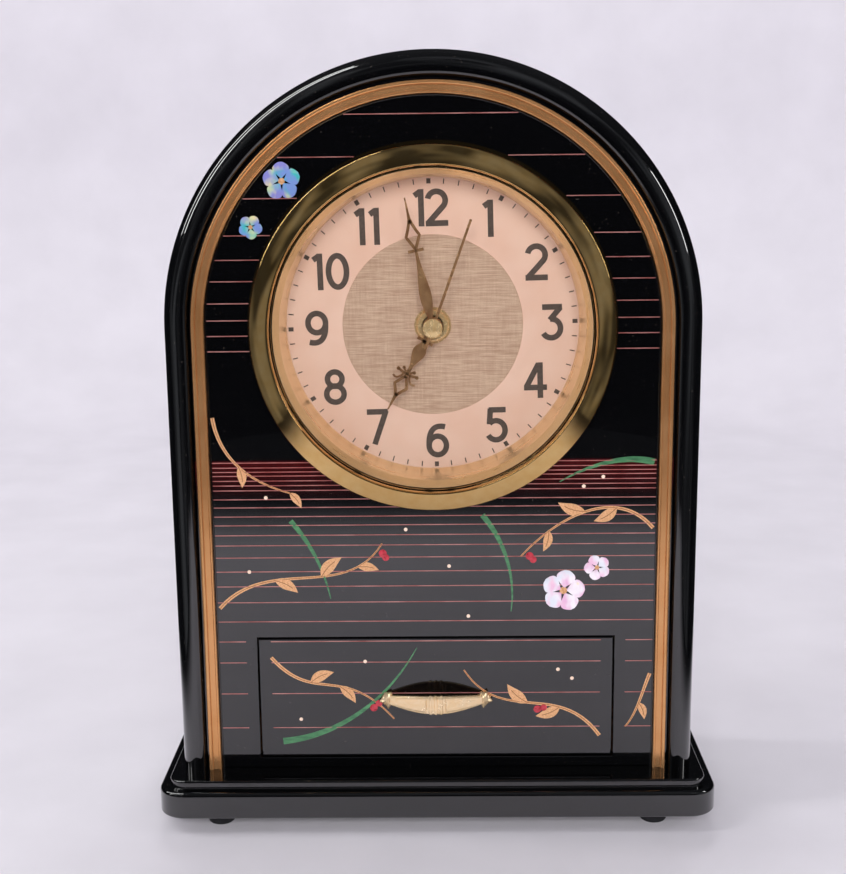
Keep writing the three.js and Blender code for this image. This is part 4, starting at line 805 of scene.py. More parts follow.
for minute in range(60):
    angle = math.radians(6 * minute)
    out = np.array([math.sin(angle), math.cos(angle)])
    ends = (MARK_RADIUS + np.array([-0.5, 0.5]) * MARK_LENGTH)[:, None] * out
    half = MINUTE_MARK_HALF if minute % 5 else HOUR_MARK_HALF
    marks.append(ribbon(ends, half, DIAL_FRONT, PRINT_HEIGHT, 0))
build("dial_minute_marks", [set_clock(mark, DIAL_TURN) for mark in marks], dial_ink, "case", "cream_paint")

# Dial centre: a disc of embossed metal foil stuck on the dial, brushed level from side to side
# with a few upright strokes across. It gives the eye a pale linen-like shimmer in fine lines.
linen_foil, tree = finish("linen_embossed_foil")
BRUSH_WIDTH = 0.32
place = add_node(tree, "TexCoord", {}).outputs["Object"]
level_way = add_node(tree, "Mapping", {"Vector": place, "Scale": (0.04, 1, 1)})
level = add_node(tree, "TexNoise", {"Vector": level_way, "Scale": 1 / (BRUSH_WIDTH * MM), "Detail": 3.0})
upright_way = add_node(tree, "Mapping", {"Vector": place, "Scale": (1, 1, 0.06)})
upright = add_node(tree, "TexNoise",
                   {"Vector": upright_way, "Scale": 1 / (1.6 * BRUSH_WIDTH * MM), "Detail": 2.0})
crossed = add_node(tree, "Math", {0: upright, 1: 0.3, 2: level}, operation="MULTIPLY_ADD")
weave = add_node(tree, "MapRange", {"Value": crossed, "From Min": 0.4, "From Max": 0.9})
colour = add_node(tree, "Mix", {0: weave, 6: linear("#b58d76"), 7: linear("#e4c0a7")}, data_type="RGBA")
sheen = add_node(tree, "MapRange", {"Value": weave, "To Min": 0.55, "To Max": 0.4})
bump = add_node(tree, "Bump", {"Height": weave, "Distance": 0.03 * MM, "Strength": 0.5})
shader = add_node(tree, "BsdfPrincipled",
                  {"Base Color": colour, "Metallic": 0.12, "Roughness": sheen, "Normal": bump})
add_node(tree, "OutputMaterial", {"Surface": shader})
DISC_EDGE = 0.1


def eased_disc(node, steps):
    """The shell of a bored disc of a CAD node's size, with its front edge eased."""
    low, high = span(node)
    profile = [[STEM_HOLE, low[1]], [high[0] - DISC_EDGE, low[1]], [high[0], low[1] + DISC_EDGE],
               [high[0], high[1]], [STEM_HOLE, high[1]]]
    return lathe(profile, steps, DIAL_CENTRE, bored=True)


build("foil_dial_centre", [eased_disc("dial_centre", 128)], linen_foil, "case", "brushed_foil", "dial_centre")

# Hand nut and washer: turned brass, screwed on the movement's stem to clamp it to the dial.
# The nut's outer edge is rounded and polished.
# Turning leaves fine rings and a warm yellow shine.
brass = mottled("turned_brass", "#f0c184", "#f8d6a6", 1.5, (0.2, 0.3), stretch=(1, 0.3, 1), Metallic=0.55)
build("brass_washer", [eased_disc("hand_washer", 64)], brass, "case", "brass", "hand_washer")
nut_low, nut_high = span("hand_nut")
NUT_ROUND = 1.3
NUT_BORE_EDGE = 0.4
nut_profile = np.vstack([
    [[STEM_HOLE, nut_high[1]], [nut_high[0], nut_high[1]]],
    arc((nut_high[0] - NUT_ROUND, nut_low[1] + NUT_ROUND), NUT_ROUND, 0, -90, 9),
    [[STEM_HOLE + NUT_BORE_EDGE, nut_low[1]], [STEM_HOLE, nut_low[1] + NUT_BORE_EDGE]],
])
build("brass_hand_nut", [lathe(nut_profile, 64, DIAL_CENTRE, bored=True)], brass,
      "case", "brass", "hand_nut")

# Hands: pressed from sheet brass, with edges bevelled by the punch and a thin lacquer that dulls the face.
# The hour and minute hands have a leaf, a cross bar and an open diamond, the second hand is a stick.
# The aged lacquer dulls it. Its brown gold, darker than the nut's brass, is a painted shade for the dark room
# that the faces mirror, and it only flashes along its bevels.
hand_brass = mottled("lacquered_hand_brass_with_painted_shade", "#96694a", "#bd9168", 6, (0.2, 0.3), detail=2.0, Metallic=0.5)
HOUR_SHOWN = 6
MINUTE_SHOWN = 58
SECOND_SHOWN = 3.3
minutes = MINUTE_SHOWN + SECOND_SHOWN / 60
hour_turn = (HOUR_SHOWN + minutes / 60) * math.tau / 12
minute_turn = minutes * math.tau / 60
second_turn = SECOND_SHOWN * math.tau / 60
HAND_BEVEL = 0.2
HAND_EDGE = 0.2
HAND_CREASE = 25
STROKE_HALF = 0.6
BAR_STROKE = 0.62
DIAMOND_START = 0.25
HUB_OVERLAP = 0.5


def upright_line(low, high, count=24):
    """Points straight up the hand, from one distance from its axis to another."""
    return np.stack([np.zeros(count), np.linspace(low, high, count)], axis=-1)


def blade(path, half, front, back):
    """A pressed strip: upright sides, a bevel along each edge and a flat face."""
    half = np.broadcast_to(half, len(path))[:, None]
    inset = np.maximum(half - HAND_BEVEL, 0.3 * half)
    across = np.hstack([-half, -half, -inset, inset, half, half])
    return strip(path, across, np.array([back, front + HAND_EDGE, front, front, front + HAND_EDGE, back]))


def swell(root, tip, belly, count=24):
    """Half widths of a leaf: a straight taper from root to tip, plus belly sin(pi t^0.65)^2.4 along it."""
    t = np.linspace(0, 1, count)
    return root + (tip - root) * t + belly * np.sin(np.pi * t ** 0.65) ** 2.4


def collar(radius, bore, front, back, centre):
    """A ring with a bevelled front edge, or a stud where its bore is 0."""
    profile = [[bore, back], [radius, back], [radius, front + HAND_EDGE], [radius - HAND_BEVEL, front],
               [bore, front]]
    return lathe(profile, 40, (centre[0], 0, centre[1]), bored=bore > 0)


def cross_bar(height, half):
    """A level stroke across the hand, as (path, half width)."""
    return line((-half, height), (half, height)), BAR_STROKE


def needle(low, neck, high, widths):
    """An upright stroke as (path, half widths), which are given at its root, neck and tip."""
    path = upright_line(low, high)
    return path, np.interp(path[:, 1], (low, neck, high), widths)


def diamond(start, waist, stop, half):
    """Two strokes round an open diamond: straight out to its waist, then back as half (1 - s)^1.3, hollow."""
    s = np.linspace(0, 1, 12)
    reach = half - DIAMOND_START
    out = np.stack([DIAMOND_START + reach * s, start + (waist - start) * s], axis=-1)
    back = np.stack([DIAMOND_START + reach * (1 - s) ** 1.3, waist + (stop - waist) * s], axis=-1)
    path = np.vstack([out, back[1:]])
    return [(path * [side, 1], STROKE_HALF) for side in (-1, 1)]


def hand(kind, turn, strokes, rings):
    """Builds a hand from strokes as (path, half width) and rings as (radius, bore, centre)."""
    front, back = (corner[1] for corner in span(f"{kind}_hand"))
    shells = [blade(path, half, front, back) for path, half in strokes]
    shells += [collar(radius, bore, front, back, centre) for radius, bore, centre in rings]
    build(f"brass_{kind}_hand", [set_clock(shell, turn) for shell in shells], hand_brass,
          f"{kind}_train", "brass", f"{kind}_hand", crease=HAND_CREASE)


MINUTE_HUB = 3.4
MINUTE_BORE = 1.9
MINUTE_BAR = 32
MINUTE_BAR_HALF = 3.2
minute_strokes = [
    (upright_line(MINUTE_HUB - HUB_OVERLAP, MINUTE_BAR + 1.4), swell(0.8, 0.5, 1.75)),
    cross_bar(MINUTE_BAR, MINUTE_BAR_HALF),
    *diamond(32.9, 37.9, 44.5, 2.75),
    needle(42.9, 47.3, 53.5, (0.85, 0.48, 0.27)),
]
hand("minute", minute_turn, minute_strokes, [(MINUTE_HUB, MINUTE_BORE, (0, 0))])

HOUR_HUB = 4.2
HOUR_BORE = 2.7
HOUR_BAR = 6.6
HOUR_BAR_HALF = 3.5
hour_strokes = [
    (upright_line(HOUR_HUB - HUB_OVERLAP, 7.6), np.linspace(1.35, 1.1, 24)),
    cross_bar(HOUR_BAR, HOUR_BAR_HALF),
    (upright_line(7.0, 20.6), swell(0.8, 0.7, 2.0)),
    (upright_line(20.2, 24.0), 0.8),
    *diamond(23.2, 27.7, 32.2, 2.8),
    needle(31, 34.8, 38.8, (0.85, 0.5, 0.32)),
]
hour_rings = [(HOUR_HUB, HOUR_BORE, (0, 0))]
for side in (-1, 1):
    hour_strokes += [
        (bezier((0, 22), (side * 1.8, 22.4), (side * 3, 21.7), (side * 4.2, 21.6)), 0.5),
        (bezier((side * 0.4, 21.8), (side * 1.2, 21.3), (side * 1.7, 20.5), (side * 2.4, 20.2)), 0.45),
        (bezier((side * 1.3, 21.9), (side * 1.9, 24.3), (side * 3.1, 26.1), (side * 5.1, 24.8)), 0.42),
    ]
    hour_rings += [(0.75, 0, (side * 4.3, 21.6)), (0.7, 0, (side * 2.4, 20.2))]
hand("hour", hour_turn, hour_strokes, hour_rings)

second_low, second_high = span("second_hand")
SECOND_BACK = second_high[1]
SECOND_THICKNESS = 0.5
SECOND_FRONT = SECOND_BACK - SECOND_THICKNESS
SECOND_LENGTH = 46.5
SECOND_TAIL = 9
CAP_RADIUS = 4
CAP_SOCKET = 0.7
CAP_RIM = 0.5
CAP_DOME = 0.7
CAP_GAP = 0.3
stick_line = upright_line(-SECOND_TAIL, SECOND_LENGTH)
stick = blade(stick_line, np.linspace(0.58, 0.5, len(stick_line)), SECOND_FRONT, SECOND_BACK)
r = np.linspace(CAP_RADIUS - CAP_RIM, 0, 12)
crown = second_low[1] + CAP_DOME * (r / r[0]) ** 2
cap = np.vstack([
    [[0, SECOND_FRONT - CAP_GAP], [CAP_SOCKET, SECOND_FRONT - CAP_GAP], [CAP_SOCKET, SECOND_BACK],
     [CAP_RADIUS, SECOND_BACK], [CAP_RADIUS, crown[0] + CAP_RIM]], np.stack([r, crown], axis=-1)])
build("brass_second_hand", [set_clock(stick, second_turn)], hand_brass,
      "second_train", "brass", "second_hand", crease=HAND_CREASE)
build("brass_second_cap", [set_clock(lathe(cap, 56, (0, 0, 0)), second_turn)], brass,
      "second_train", "brass", crease=HAND_CREASE)

# Movement: a quartz works in a black moulded case behind the dial, with white moulded wheels,
# a stepping motor, a circuit board and a cell. Its edges are rounded as moulded or punched.
bodies = frame["record"]["behaviour"]["bodies"]
carried_by = {node: body for body, members in bodies.items() for node in members}
FLAT_BEND = 1
SOLID_CREASE = 40
BEVEL_FROM = 50


def softened(node, material, slot, edge):
    """A copy of a CAD solid: flat faces joined, and edges rounded by a Bevel of edge millimetres."""
    work = bmesh.new()
    work.from_mesh(frame["nodes"][node].data)
    bmesh.ops.remove_doubles(work, verts=work.verts, dist=SAME_POINT)
    bmesh.ops.dissolve_limit(work, angle_limit=math.radians(FLAT_BEND), verts=work.verts, edges=work.edges)
    mesh = bpy.data.meshes.new(f"{node}_piece")
    work.to_mesh(mesh)
    work.free()
    if "custom_normal" in mesh.attributes:
        mesh.attributes.remove(mesh.attributes["custom_normal"])
    obj = show(f"{node}_piece", mesh, material, SOLID_CREASE)
    bevel = obj.modifiers.new("rounded_edge", "BEVEL")
    bevel.width = edge * MM
    bevel.segments = 2
    bevel.limit_method = "ANGLE"
    bevel.angle_limit = math.radians(BEVEL_FROM)
    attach(obj, carried_by[node])
    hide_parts(node)


# Mouldings have a fine spark-eroded grain that breaks up their shine, and plated steel shows
# streaks from rolling. The magnet is a dull grey, and the board a satin green.
black_plastic = mottled("black_moulded_plastic", "#161617", "#232325", 0.35, (0.34, 0.5), depth_mm=0.02)
white_plastic = mottled("white_acetal", "#dcd9cf", "#eeebe2", 0.35, (0.37, 0.53), depth_mm=0.02)
steel = mottled("zinc_plated_steel", "#9a9a98", "#c6c5c0", 0.8, (0.24, 0.4), stretch=(0.12, 1, 1), Metallic=1.0)
magnet = mottled("sintered_magnet", "#333336", "#4a4a4d", 0.35, (0.42, 0.58), depth_mm=0.02)
board = mottled("green_circuit_board", "#1f4a2d", "#33683f", 0.35, (0.32, 0.48), depth_mm=0.02)
# Enamelled wire lies turn by turn: red-brown shining ridges, with the colour painted dark in the gaps between
# them, a painted shade.
wire, tree = finish("enamelled_copper_wire")
WIRE_PITCH = 0.3
WAVE_PERIOD = 0.314
place = add_node(tree, "TexCoord", {}).outputs["Object"]
ridges = add_node(tree, "TexWave", {"Vector": place, "Scale": WAVE_PERIOD / (WIRE_PITCH * MM)},
                  bands_direction="X")
turns = ridges.outputs["Fac"]
colour = add_node(tree, "Mix", {0: turns, 6: linear("#5f2d12"), 7: linear("#c07a43")}, data_type="RGBA")
bump = add_node(tree, "Bump", {"Height": turns, "Distance": 0.08 * MM})
shader = add_node(tree, "BsdfPrincipled",
                  {"Base Color": colour, "Metallic": 1.0, "Roughness": 0.3, "Normal": bump})
add_node(tree, "OutputMaterial", {"Surface": shader})
# The cell's shrink wrap is dark with a copper-coloured band, glossy and a little uneven.
cell_wrap, tree = finish("shrink_wrapped_cell")
CELL_BAND = 13
BAND_EDGE = 0.4
place = add_node(tree, "TexCoord", {}).outputs["Object"]
length = add_node(tree, "SeparateXYZ", {"Vector": place}).outputs["X"]
band = add_node(tree, "MapRange",
                {"Value": length, "From Min": CELL_BAND * MM, "From Max": (CELL_BAND + BAND_EDGE) * MM})
colour = add_node(tree, "Mix", {0: band, 6: linear("#26282c"), 7: linear("#b9833c")}, data_type="RGBA")
creases = add_node(tree, "TexNoise", {"Vector": place, "Scale": 1 / (3 * MM)})
gloss = add_node(tree, "MapRange", {"Value": creases, "To Min": 0.15, "To Max": 0.4})
shader = add_node(tree, "BsdfPrincipled", {"Base Color": colour, "Metallic": 0.3, "Roughness": gloss})
add_node(tree, "OutputMaterial", {"Surface": shader})
WHEELS = ("second_wheel", "intermediate_wheel", "third_wheel", "minute_wheel", "motion_wheel", "hour_wheel")
MOVEMENT_FINISHES = (
    ("movement_front_case", black_plastic, "black_moulding", 0.4),
    ("movement_rear_cover", black_plastic, "black_moulding", 0.4),
    ("middle_plate", white_plastic, "white_moulding", 0.15),
    *((wheel, white_plastic, "white_moulding", 0.05) for wheel in WHEELS),
    ("rotor", magnet, "magnet", 0.05),
    ("stator", steel, "steel", 0.08),
    ("coil", wire, "copper_wire", 0.1),
    ("circuit_board", board, "circuit_board", 0.08),
    ("quartz_crystal", steel, "steel", 0.15),
    ("contact_negative", brass, "brass", 0.1),
    ("contact_positive", brass, "brass", 0.1),
    ("setting_knob", black_plastic, "black_moulding", 0.15),
    ("bezel_retainer", steel, "steel", 0.2),
    ("dial_retainer", steel, "steel", 0.2),
)
for finished in MOVEMENT_FINISHES:
    softened(*finished)
cell_low, cell_high = span("battery")
cell_radius = (cell_high[2] - cell_low[2]) / 2
cell_middle = (cell_low + cell_high) / 2
CELL_NUB = 2.6
CELL_NUB_LENGTH = 1.2
NUB_EDGE = 0.2
CELL_ROUND = 0.6
cell_face = cell_radius - CELL_ROUND
shoulder = cell_high[0] - CELL_NUB_LENGTH
cell_profile = [[0, cell_low[0]], [cell_face, cell_low[0]], [cell_radius, cell_low[0] + CELL_ROUND],
                [cell_radius, shoulder - CELL_ROUND], [cell_face, shoulder], [CELL_NUB, shoulder],
                [CELL_NUB, cell_high[0] - NUB_EDGE], [CELL_NUB - NUB_EDGE, cell_high[0]], [0, cell_high[0]]]
cell_shell = lathe(cell_profile, 48, (0, *cell_middle[1:]), "x")
build("dry_cell", [cell_shell], cell_wrap, "case", "cell_wrap", "battery")

# Rear cover: a sheet of brown fibreboard let into the back of the case, with a square window
# to reach the movement. Four screws with crossed recesses hold it.
# Pressed fibres give a dull brown fleck that runs from side to side.
fibreboard = mottled("brown_fibreboard", "#3a281b", "#6a4a33", 1.4, (0.7, 0.9), stretch=(0.35, 1, 1),
                     detail=6.0, depth_mm=0.06, Specular_IOR_Level=0.2)
softened("rear_cover", fibreboard, "fibreboard", 0.4)
SCREW_HEAD = 2.8
SCREW_SHANK = 1.3
SCREW_HEAD_HEIGHT = 1.5
RECESS_HALF = 0.34
RECESS_REACH = 1.5
RECESS_DEPTH = 0.8
RECESS_SLOPES = (0.12, 0.25)
FINE_ROWS = np.linspace(0, 1.9, 14)
OUTER_ROWS = np.linspace(2.05, SCREW_HEAD, 7)


def screw(node):
    """A pan-head screw along Y in a CAD screw's place: a shank, and a dome with a crossed recess sunk in it."""
    low, high = span(node)
    seat = (low + high) / 2
    seat[1] = high[1] - SCREW_HEAD_HEIGHT
    length = seat[1] - low[1]
    radius = np.concatenate([FINE_ROWS, OUTER_ROWS])
    angles = np.arange(64) * 2 * np.pi / 64
    x = radius[:, None] * np.cos(angles)
    z = radius[:, None] * np.sin(angles)
    dome = SCREW_HEAD_HEIGHT * (1 - 0.75 * (radius / SCREW_HEAD) ** 4)[:, None]
    near = np.minimum(np.abs(x), np.abs(z))
    far = np.maximum(np.abs(x), np.abs(z))
    sunk = np.clip((RECESS_HALF - near) / RECESS_SLOPES[0] + 0.5, 0, 1)
    sunk = sunk * np.clip((RECESS_REACH - far) / RECESS_SLOPES[1] + 0.5, 0, 1)
    head = np.stack([x, dome - RECESS_DEPTH * sunk, z], axis=-1)
    profile = [[SCREW_HEAD, 0], [SCREW_SHANK, 0], [SCREW_SHANK, SCREW_SHANK - length], [0, -length]]
    return skin(np.concatenate([head, turned(profile, 64, (0, 0, 0))]) + seat, capped=False)


for number in range(1, 5):
    node = f"rear_cover_screw_{number}"
    build(f"cover_screw_{number}", [screw(node)], steel, "case", "steel", node)

# Drawer shelf and runners: a fibreboard floor on the plinth, and two planed strips of wood
# glued on it, each with a ledge under the drawer's side and a guide beside it.
# Stained wood gives brown rings drawn out along its length, with finer open pores between them.
wood, tree = finish("stained_wood")
RING_WIDTH = 3.5
PORE_WIDTH = 0.5
place = add_node(tree, "TexCoord", {}).outputs["Object"]
along_grain = add_node(tree, "Mapping", {"Vector": place, "Scale": (1, 0.06, 1)})
rings = add_node(tree, "TexNoise", {"Vector": along_grain, "Scale": 1 / (RING_WIDTH * MM), "Detail": 5.0})
figure = add_node(tree, "MapRange", {"Value": rings, "From Min": 0.35, "From Max": 0.65})
colour = add_node(tree, "Mix", {0: figure, 6: linear("#3a2517"), 7: linear("#70492d")}, data_type="RGBA")
pores = add_node(tree, "TexNoise", {"Vector": along_grain, "Scale": 1 / (PORE_WIDTH * MM), "Detail": 3.0})
dull = add_node(tree, "MapRange",
                {"Value": pores, "From Min": 0.3, "From Max": 0.7, "To Min": 0.5, "To Max": 0.72})
bump = add_node(tree, "Bump", {"Height": pores, "Distance": 0.05 * MM})
shader = add_node(tree, "BsdfPrincipled",
                  {"Base Color": colour, "Roughness": dull, "Normal": bump, "Specular IOR Level": 0.3})
add_node(tree, "OutputMaterial", {"Surface": shader})
softened("drawer_shelf", fibreboard, "fibreboard", 0.3)
for node in ("runner_left", "runner_right"):
    softened(node, wood, "drawer_wood", 0.3)

# Drawer: a box of stained wood behind a lacquered front that lies flush in the panel.
# Its front has eased edges, and its floor is lined with red felt.
# The felt gives a deep red with a dry, hairy surface that brightens at a slant.
for node in ("drawer_side_left", "drawer_side_right", "drawer_back", "drawer_bottom"):
    softened(node, wood, "drawer_wood", 0.3)
front_low, front_high = span("drawer_front")
DRAWER_EDGE = 0.45
PULL_REACH = 20.5
SCREW_HOLE = 1.6
pull_z = (front_low[2] + front_high[2]) / 2
front_loops = [rectangle(front_high[0], front_low[2], front_high[2])]
front_loops += [circle(SCREW_HOLE, (side * PULL_REACH, pull_z), 24) for side in (-1, 1)]
drawer_lacquer = black_lacquer("black_lacquer_on_drawer")
front_shell = cut_plate(front_loops, front_low[1], front_high[1], DRAWER_EDGE)
build("lacquered_drawer_front", [front_shell], drawer_lacquer,
      "drawer", "black_lacquered_wood", "drawer_front", crease=FLAT_CREASE)
felt = mottled("red_wool_felt", "#5a0c15", "#94202c", 0.6, (0.92, 0.98), detail=6.0, depth_mm=0.15,
               Specular_IOR_Level=0.1, Sheen_Weight=0.5)
lining_low, lining_high = span("drawer_lining")
FELT_ROWS = 70
FELT_COLUMNS = 32
FELT_LENGTH = 130
FELT_DEPTH = 55
FELT_WAVE = 0.12
FELT_SETTLED = 0.1
FELT_EDGE_DROP = 0.35
FELT_EDGE_WIDTH = 0.6


def felt_sheet():
    """A felt sheet as a grid: its top is raised and dented by two slow waves, and drops at the edges."""
    u, v = np.meshgrid(np.linspace(0, 1, FELT_ROWS), np.linspace(0, 1, FELT_COLUMNS), indexing="ij")
    x = lining_low[0] + (lining_high[0] - lining_low[0]) * u
    y = lining_low[1] + (lining_high[1] - lining_low[1]) * v
    wave = FELT_WAVE * np.sin(9 * u + 4 * v) * np.cos(5 * v - 3 * u)
    edge = np.minimum(np.minimum(u, 1 - u) * FELT_LENGTH, np.minimum(v, 1 - v) * FELT_DEPTH)
    top = lining_high[2] - FELT_SETTLED + wave - FELT_EDGE_DROP * np.exp(-edge / FELT_EDGE_WIDTH)
    upper = np.stack([x, y, top], axis=-1)
    lower = np.stack([x, y, np.full_like(x, lining_low[2])], axis=-1)
    return skin(np.hstack([upper, lower[:, ::-1]]))


lining = build("felt_lining", [felt_sheet()], felt, "drawer", "red_felt", "drawer_lining")

# Pull: a cast and gilt handle, bowed forward between two leaf-shaped ends. Its strap swells
# towards three ribs in the middle, and the handle is screwed on from inside the drawer.
# The gilt casting gives a pale gold with soft-edged reflections and a slightly pitted skin.
cast_gilt = mottled("cast_gilt_metal", "#fad7a4", "#ffe5bd", 2.2, (0.16, 0.28), detail=4.0, depth_mm=0.02,
                    Metallic=0.7)
pull_low = span("drawer_pull")[0]
POST_LENGTH = 2.2
POST_RADIUS = 2.6
STRAP_THICKNESS = 2.4
STRAP_MIDDLE = 7.9
STRAP_END = 3.6
SQUARENESS = 0.5
RIB_PITCH = 2.3
RIB_HALF = 0.62
RIB_PROUD = 0.45
RIB_RISE = 0.25
FIELD_END = 4.1
FIELD_EASE = 0.3
FIELD_SINK = 0.3
FIELD_HIGH = 0.8
BORDER_EASE = 0.1
MIDDLE_SINK = 0.35
LEAF_BODY = 2.5
LEAF_POINTS = ((-14, 3.7), (66, 3.3), (116, 3.4), (-94, 4.1), (-150, 2.8))
POINT_SPREAD = 0.26
LEAF_VEIN = 0.3
LEAF_RIM = 0.2
LEAF_DOME = 1.5
LEAF_BACK = 1.2


def pull_strap():
    """A strap along x: bowed forward and as tall as cos(pi/2 x), in squarish ellipses.

    Its front is sunk a little inside a border, and three round ribs stand out of its middle.
    """
    along = np.linspace(-1, 1, 241)
    rise = np.cos(along * np.pi / 2)
    x = (along * PULL_REACH)[:, None]
    height = STRAP_END + (STRAP_MIDDLE - STRAP_END) * rise
    bow = PANEL_FRONT - POST_LENGTH - STRAP_THICKNESS / 2 - pull_low[1]
    ribs = sum(np.sqrt(np.clip(1 - ((x - place) / RIB_HALF) ** 2, 0, 1))
               for place in (-RIB_PITCH, 0, RIB_PITCH))
    angles = np.arange(48) * 2 * np.pi / 48
    across = -np.sign(np.cos(angles)) * np.abs(np.cos(angles)) ** SQUARENESS
    high = np.sign(np.sin(angles)) * np.abs(np.sin(angles)) ** SQUARENESS
    inside = np.clip((FIELD_HIGH - np.abs(high)) / BORDER_EASE, 0, 1)
    outer = np.clip((np.abs(x) - FIELD_END) / FIELD_EASE, 0, 1)
    middle = np.clip((FIELD_END - np.abs(x)) / FIELD_EASE, 0, 1)
    sunk = FIELD_SINK * inside * outer * (across < 0)
    thick = STRAP_THICKNESS / 2 - MIDDLE_SINK * middle + RIB_PROUD * ribs
    y = (PANEL_FRONT - POST_LENGTH - bow * rise)[:, None] + thick * across + sunk
    z = pull_z + (height[:, None] / 2 + RIB_RISE * ribs) * high
    return skin(np.stack([np.broadcast_to(x, y.shape), y, z], axis=-1))


def pull_leaf(side):
    """A leaf-shaped end: a polar plate that reaches out to five points, domed, with a vein to each point."""
    share = np.linspace(0, 1, 14)[:, None]
    angles = np.arange(120) * 2 * np.pi / 120
    points, lengths = np.array(LEAF_POINTS).T
    gaps = np.abs((angles[:, None] - np.radians(points) + np.pi) % (2 * np.pi) - np.pi)
    reach = np.max(LEAF_BODY + (lengths - LEAF_BODY) * np.exp(-(gaps / POINT_SPREAD) ** 1.2), axis=1)
    radius = share * reach
    veins = LEAF_VEIN * np.cos(np.min(gaps, axis=1) * 8) * share * (1.3 - share)
    x = side * (PULL_REACH + radius * np.cos(angles))
    z = pull_z + radius * np.sin(angles)
    front = PANEL_FRONT - POST_LENGTH - LEAF_RIM - LEAF_DOME * (1 - share ** 2) - veins
    back = np.full_like(x, PANEL_FRONT - POST_LENGTH + LEAF_BACK)
    upper = np.stack([x, front, z], axis=-1)
    lower = np.stack([x, back, z], axis=-1)[::-1]
    return skin(np.concatenate([upper, lower]), capped=False)


post = [[0, PANEL_FRONT], [POST_RADIUS, PANEL_FRONT], [POST_RADIUS, PANEL_FRONT - POST_LENGTH],
        [0, PANEL_FRONT - POST_LENGTH]]
pull_shells = [pull_strap()]
for side in (-1, 1):
    pull_shells += [pull_leaf(side), lathe(post, 32, (side * PULL_REACH, 0, pull_z))]
build("gilt_pull", pull_shells, cast_gilt, "drawer", "gilt_metal", "drawer_pull", crease=50)
for node in ("pull_screw_left", "pull_screw_right"):
    build(f"gilt_{node}", [screw(node)], steel, "drawer", "steel", node)

# Studio: a pale paper sweep that rises all round the clock, with soft lamps in front, at both sides and
# behind, in a dim room. The clock's gloss shows only the paper near it: further away the paper's colour
# is painted dark for reflections alone, a painted shade that the camera never sees.
# The paper gives an even pale grey with a dull, faintly cloudy surface.
paper = mottled("pale_paper", "#dad7dd", "#e0dde3", 60, (0.75, 0.85), Specular_IOR_Level=0.2)
tree = paper.node_tree
paper_shader = tree.nodes["Principled BSDF"]
cloudy = paper_shader.inputs["Base Color"].links[0].from_socket
place = add_node(tree, "TexCoord", {}).outputs["Object"]
spread = add_node(tree, "SeparateXYZ", {"Vector": place})
aside = add_node(tree, "Math", {0: spread.outputs["X"]}, operation="ABSOLUTE")
paper_fades = (
    (spread.outputs["Y"], -430, -600),
    (spread.outputs["Y"], 60, 250),
    (aside, 180, 290),
)
# For reflected rays only, the paper's colour is painted dark away from the middle: a painted shade that stands
# for the dim room in the clock's gloss.
mirrored_ray = add_node(tree, "LightPath", {}).outputs["Is Glossy Ray"]
kept = 1.0
for distance, near, far in paper_fades:
    fade = add_node(tree, "MapRange",
                    {"Value": distance, "From Min": near * MM, "From Max": far * MM, "To Min": 1.0,
                     "To Max": 0.0}, interpolation_type="SMOOTHSTEP")
    kept = add_node(tree, "Math", {0: kept, 1: fade}, operation="MULTIPLY")
lost = add_node(tree, "Math", {0: 1.0, 1: kept}, operation="SUBTRACT")
faded = add_node(tree, "Math", {0: mirrored_ray, 1: lost}, operation="MULTIPLY")
painted_reflection_shade = add_node(tree, "Mix", {0: faded, 6: cloudy, 7: linear("#202124")}, data_type="RGBA")
tree.links.new(painted_reflection_shade.outputs[2], paper_shader.inputs["Base Color"])
SWEEP_RADIUS = 1150
SWEEP_CURVE = 320
SWEEP_HEIGHT = 1500
SWEEP_FRONT = 640
MIDDLE_HALF = 300
SWEEP_STEPS = 64


def paper_sweep():
    """Floor, curve and wall: (radius, height) points carried round the back and then round the front."""
    curve = arc((SWEEP_RADIUS - SWEEP_CURVE, SWEEP_CURVE), SWEEP_CURVE, -90, 0, 16)
    section = np.vstack([[[0, 0], [MIDDLE_HALF, 0]], curve, [[SWEEP_RADIUS, SWEEP_HEIGHT]]])
    radius, height = section.T
    half_turn = np.linspace(0, np.pi, SWEEP_STEPS)
    turns = np.concatenate([half_turn, half_turn + np.pi])[:, None]
    centres = np.repeat([0, -SWEEP_FRONT], SWEEP_STEPS)[:, None]
    heights = np.broadcast_to(height, (len(turns), len(height)))
    return np.stack([radius * np.cos(turns), centres + radius * np.sin(turns), heights], axis=-1)


sweep_grid = paper_sweep()
for name, grid, mirrored in (("paper_middle", sweep_grid[:, :2], True),
                             ("paper_surround", sweep_grid[:, 1:], False)):
    points, faces = skin(grid, around=False, endless=True, capped=False)
    mesh = bpy.data.meshes.new(name)
    mesh.from_pydata(points * MM, [], faces)
    mesh.shade_smooth()
    mesh.materials.append(paper)
    sheet = bpy.data.objects.new(name, mesh)
    sheet.visible_glossy = mirrored
    bpy.context.scene.collection.objects.link(sheet)


def aim(position, target):
    """A matrix at a position, in metres, whose -Z axis looks at the target, with its Y axis up."""
    back = np.asarray(position, float) - np.asarray(target, float)
    back /= np.linalg.norm(back)
    right = np.cross((0, 0, 1), back)
    right /= np.linalg.norm(right)
    up = np.cross(back, right)
    matrix = np.eye(4)
    matrix[:3, :3] = np.column_stack([right, up, back])
    matrix[:3, 3] = np.asarray(position, float) * MM
    return Matrix(matrix)


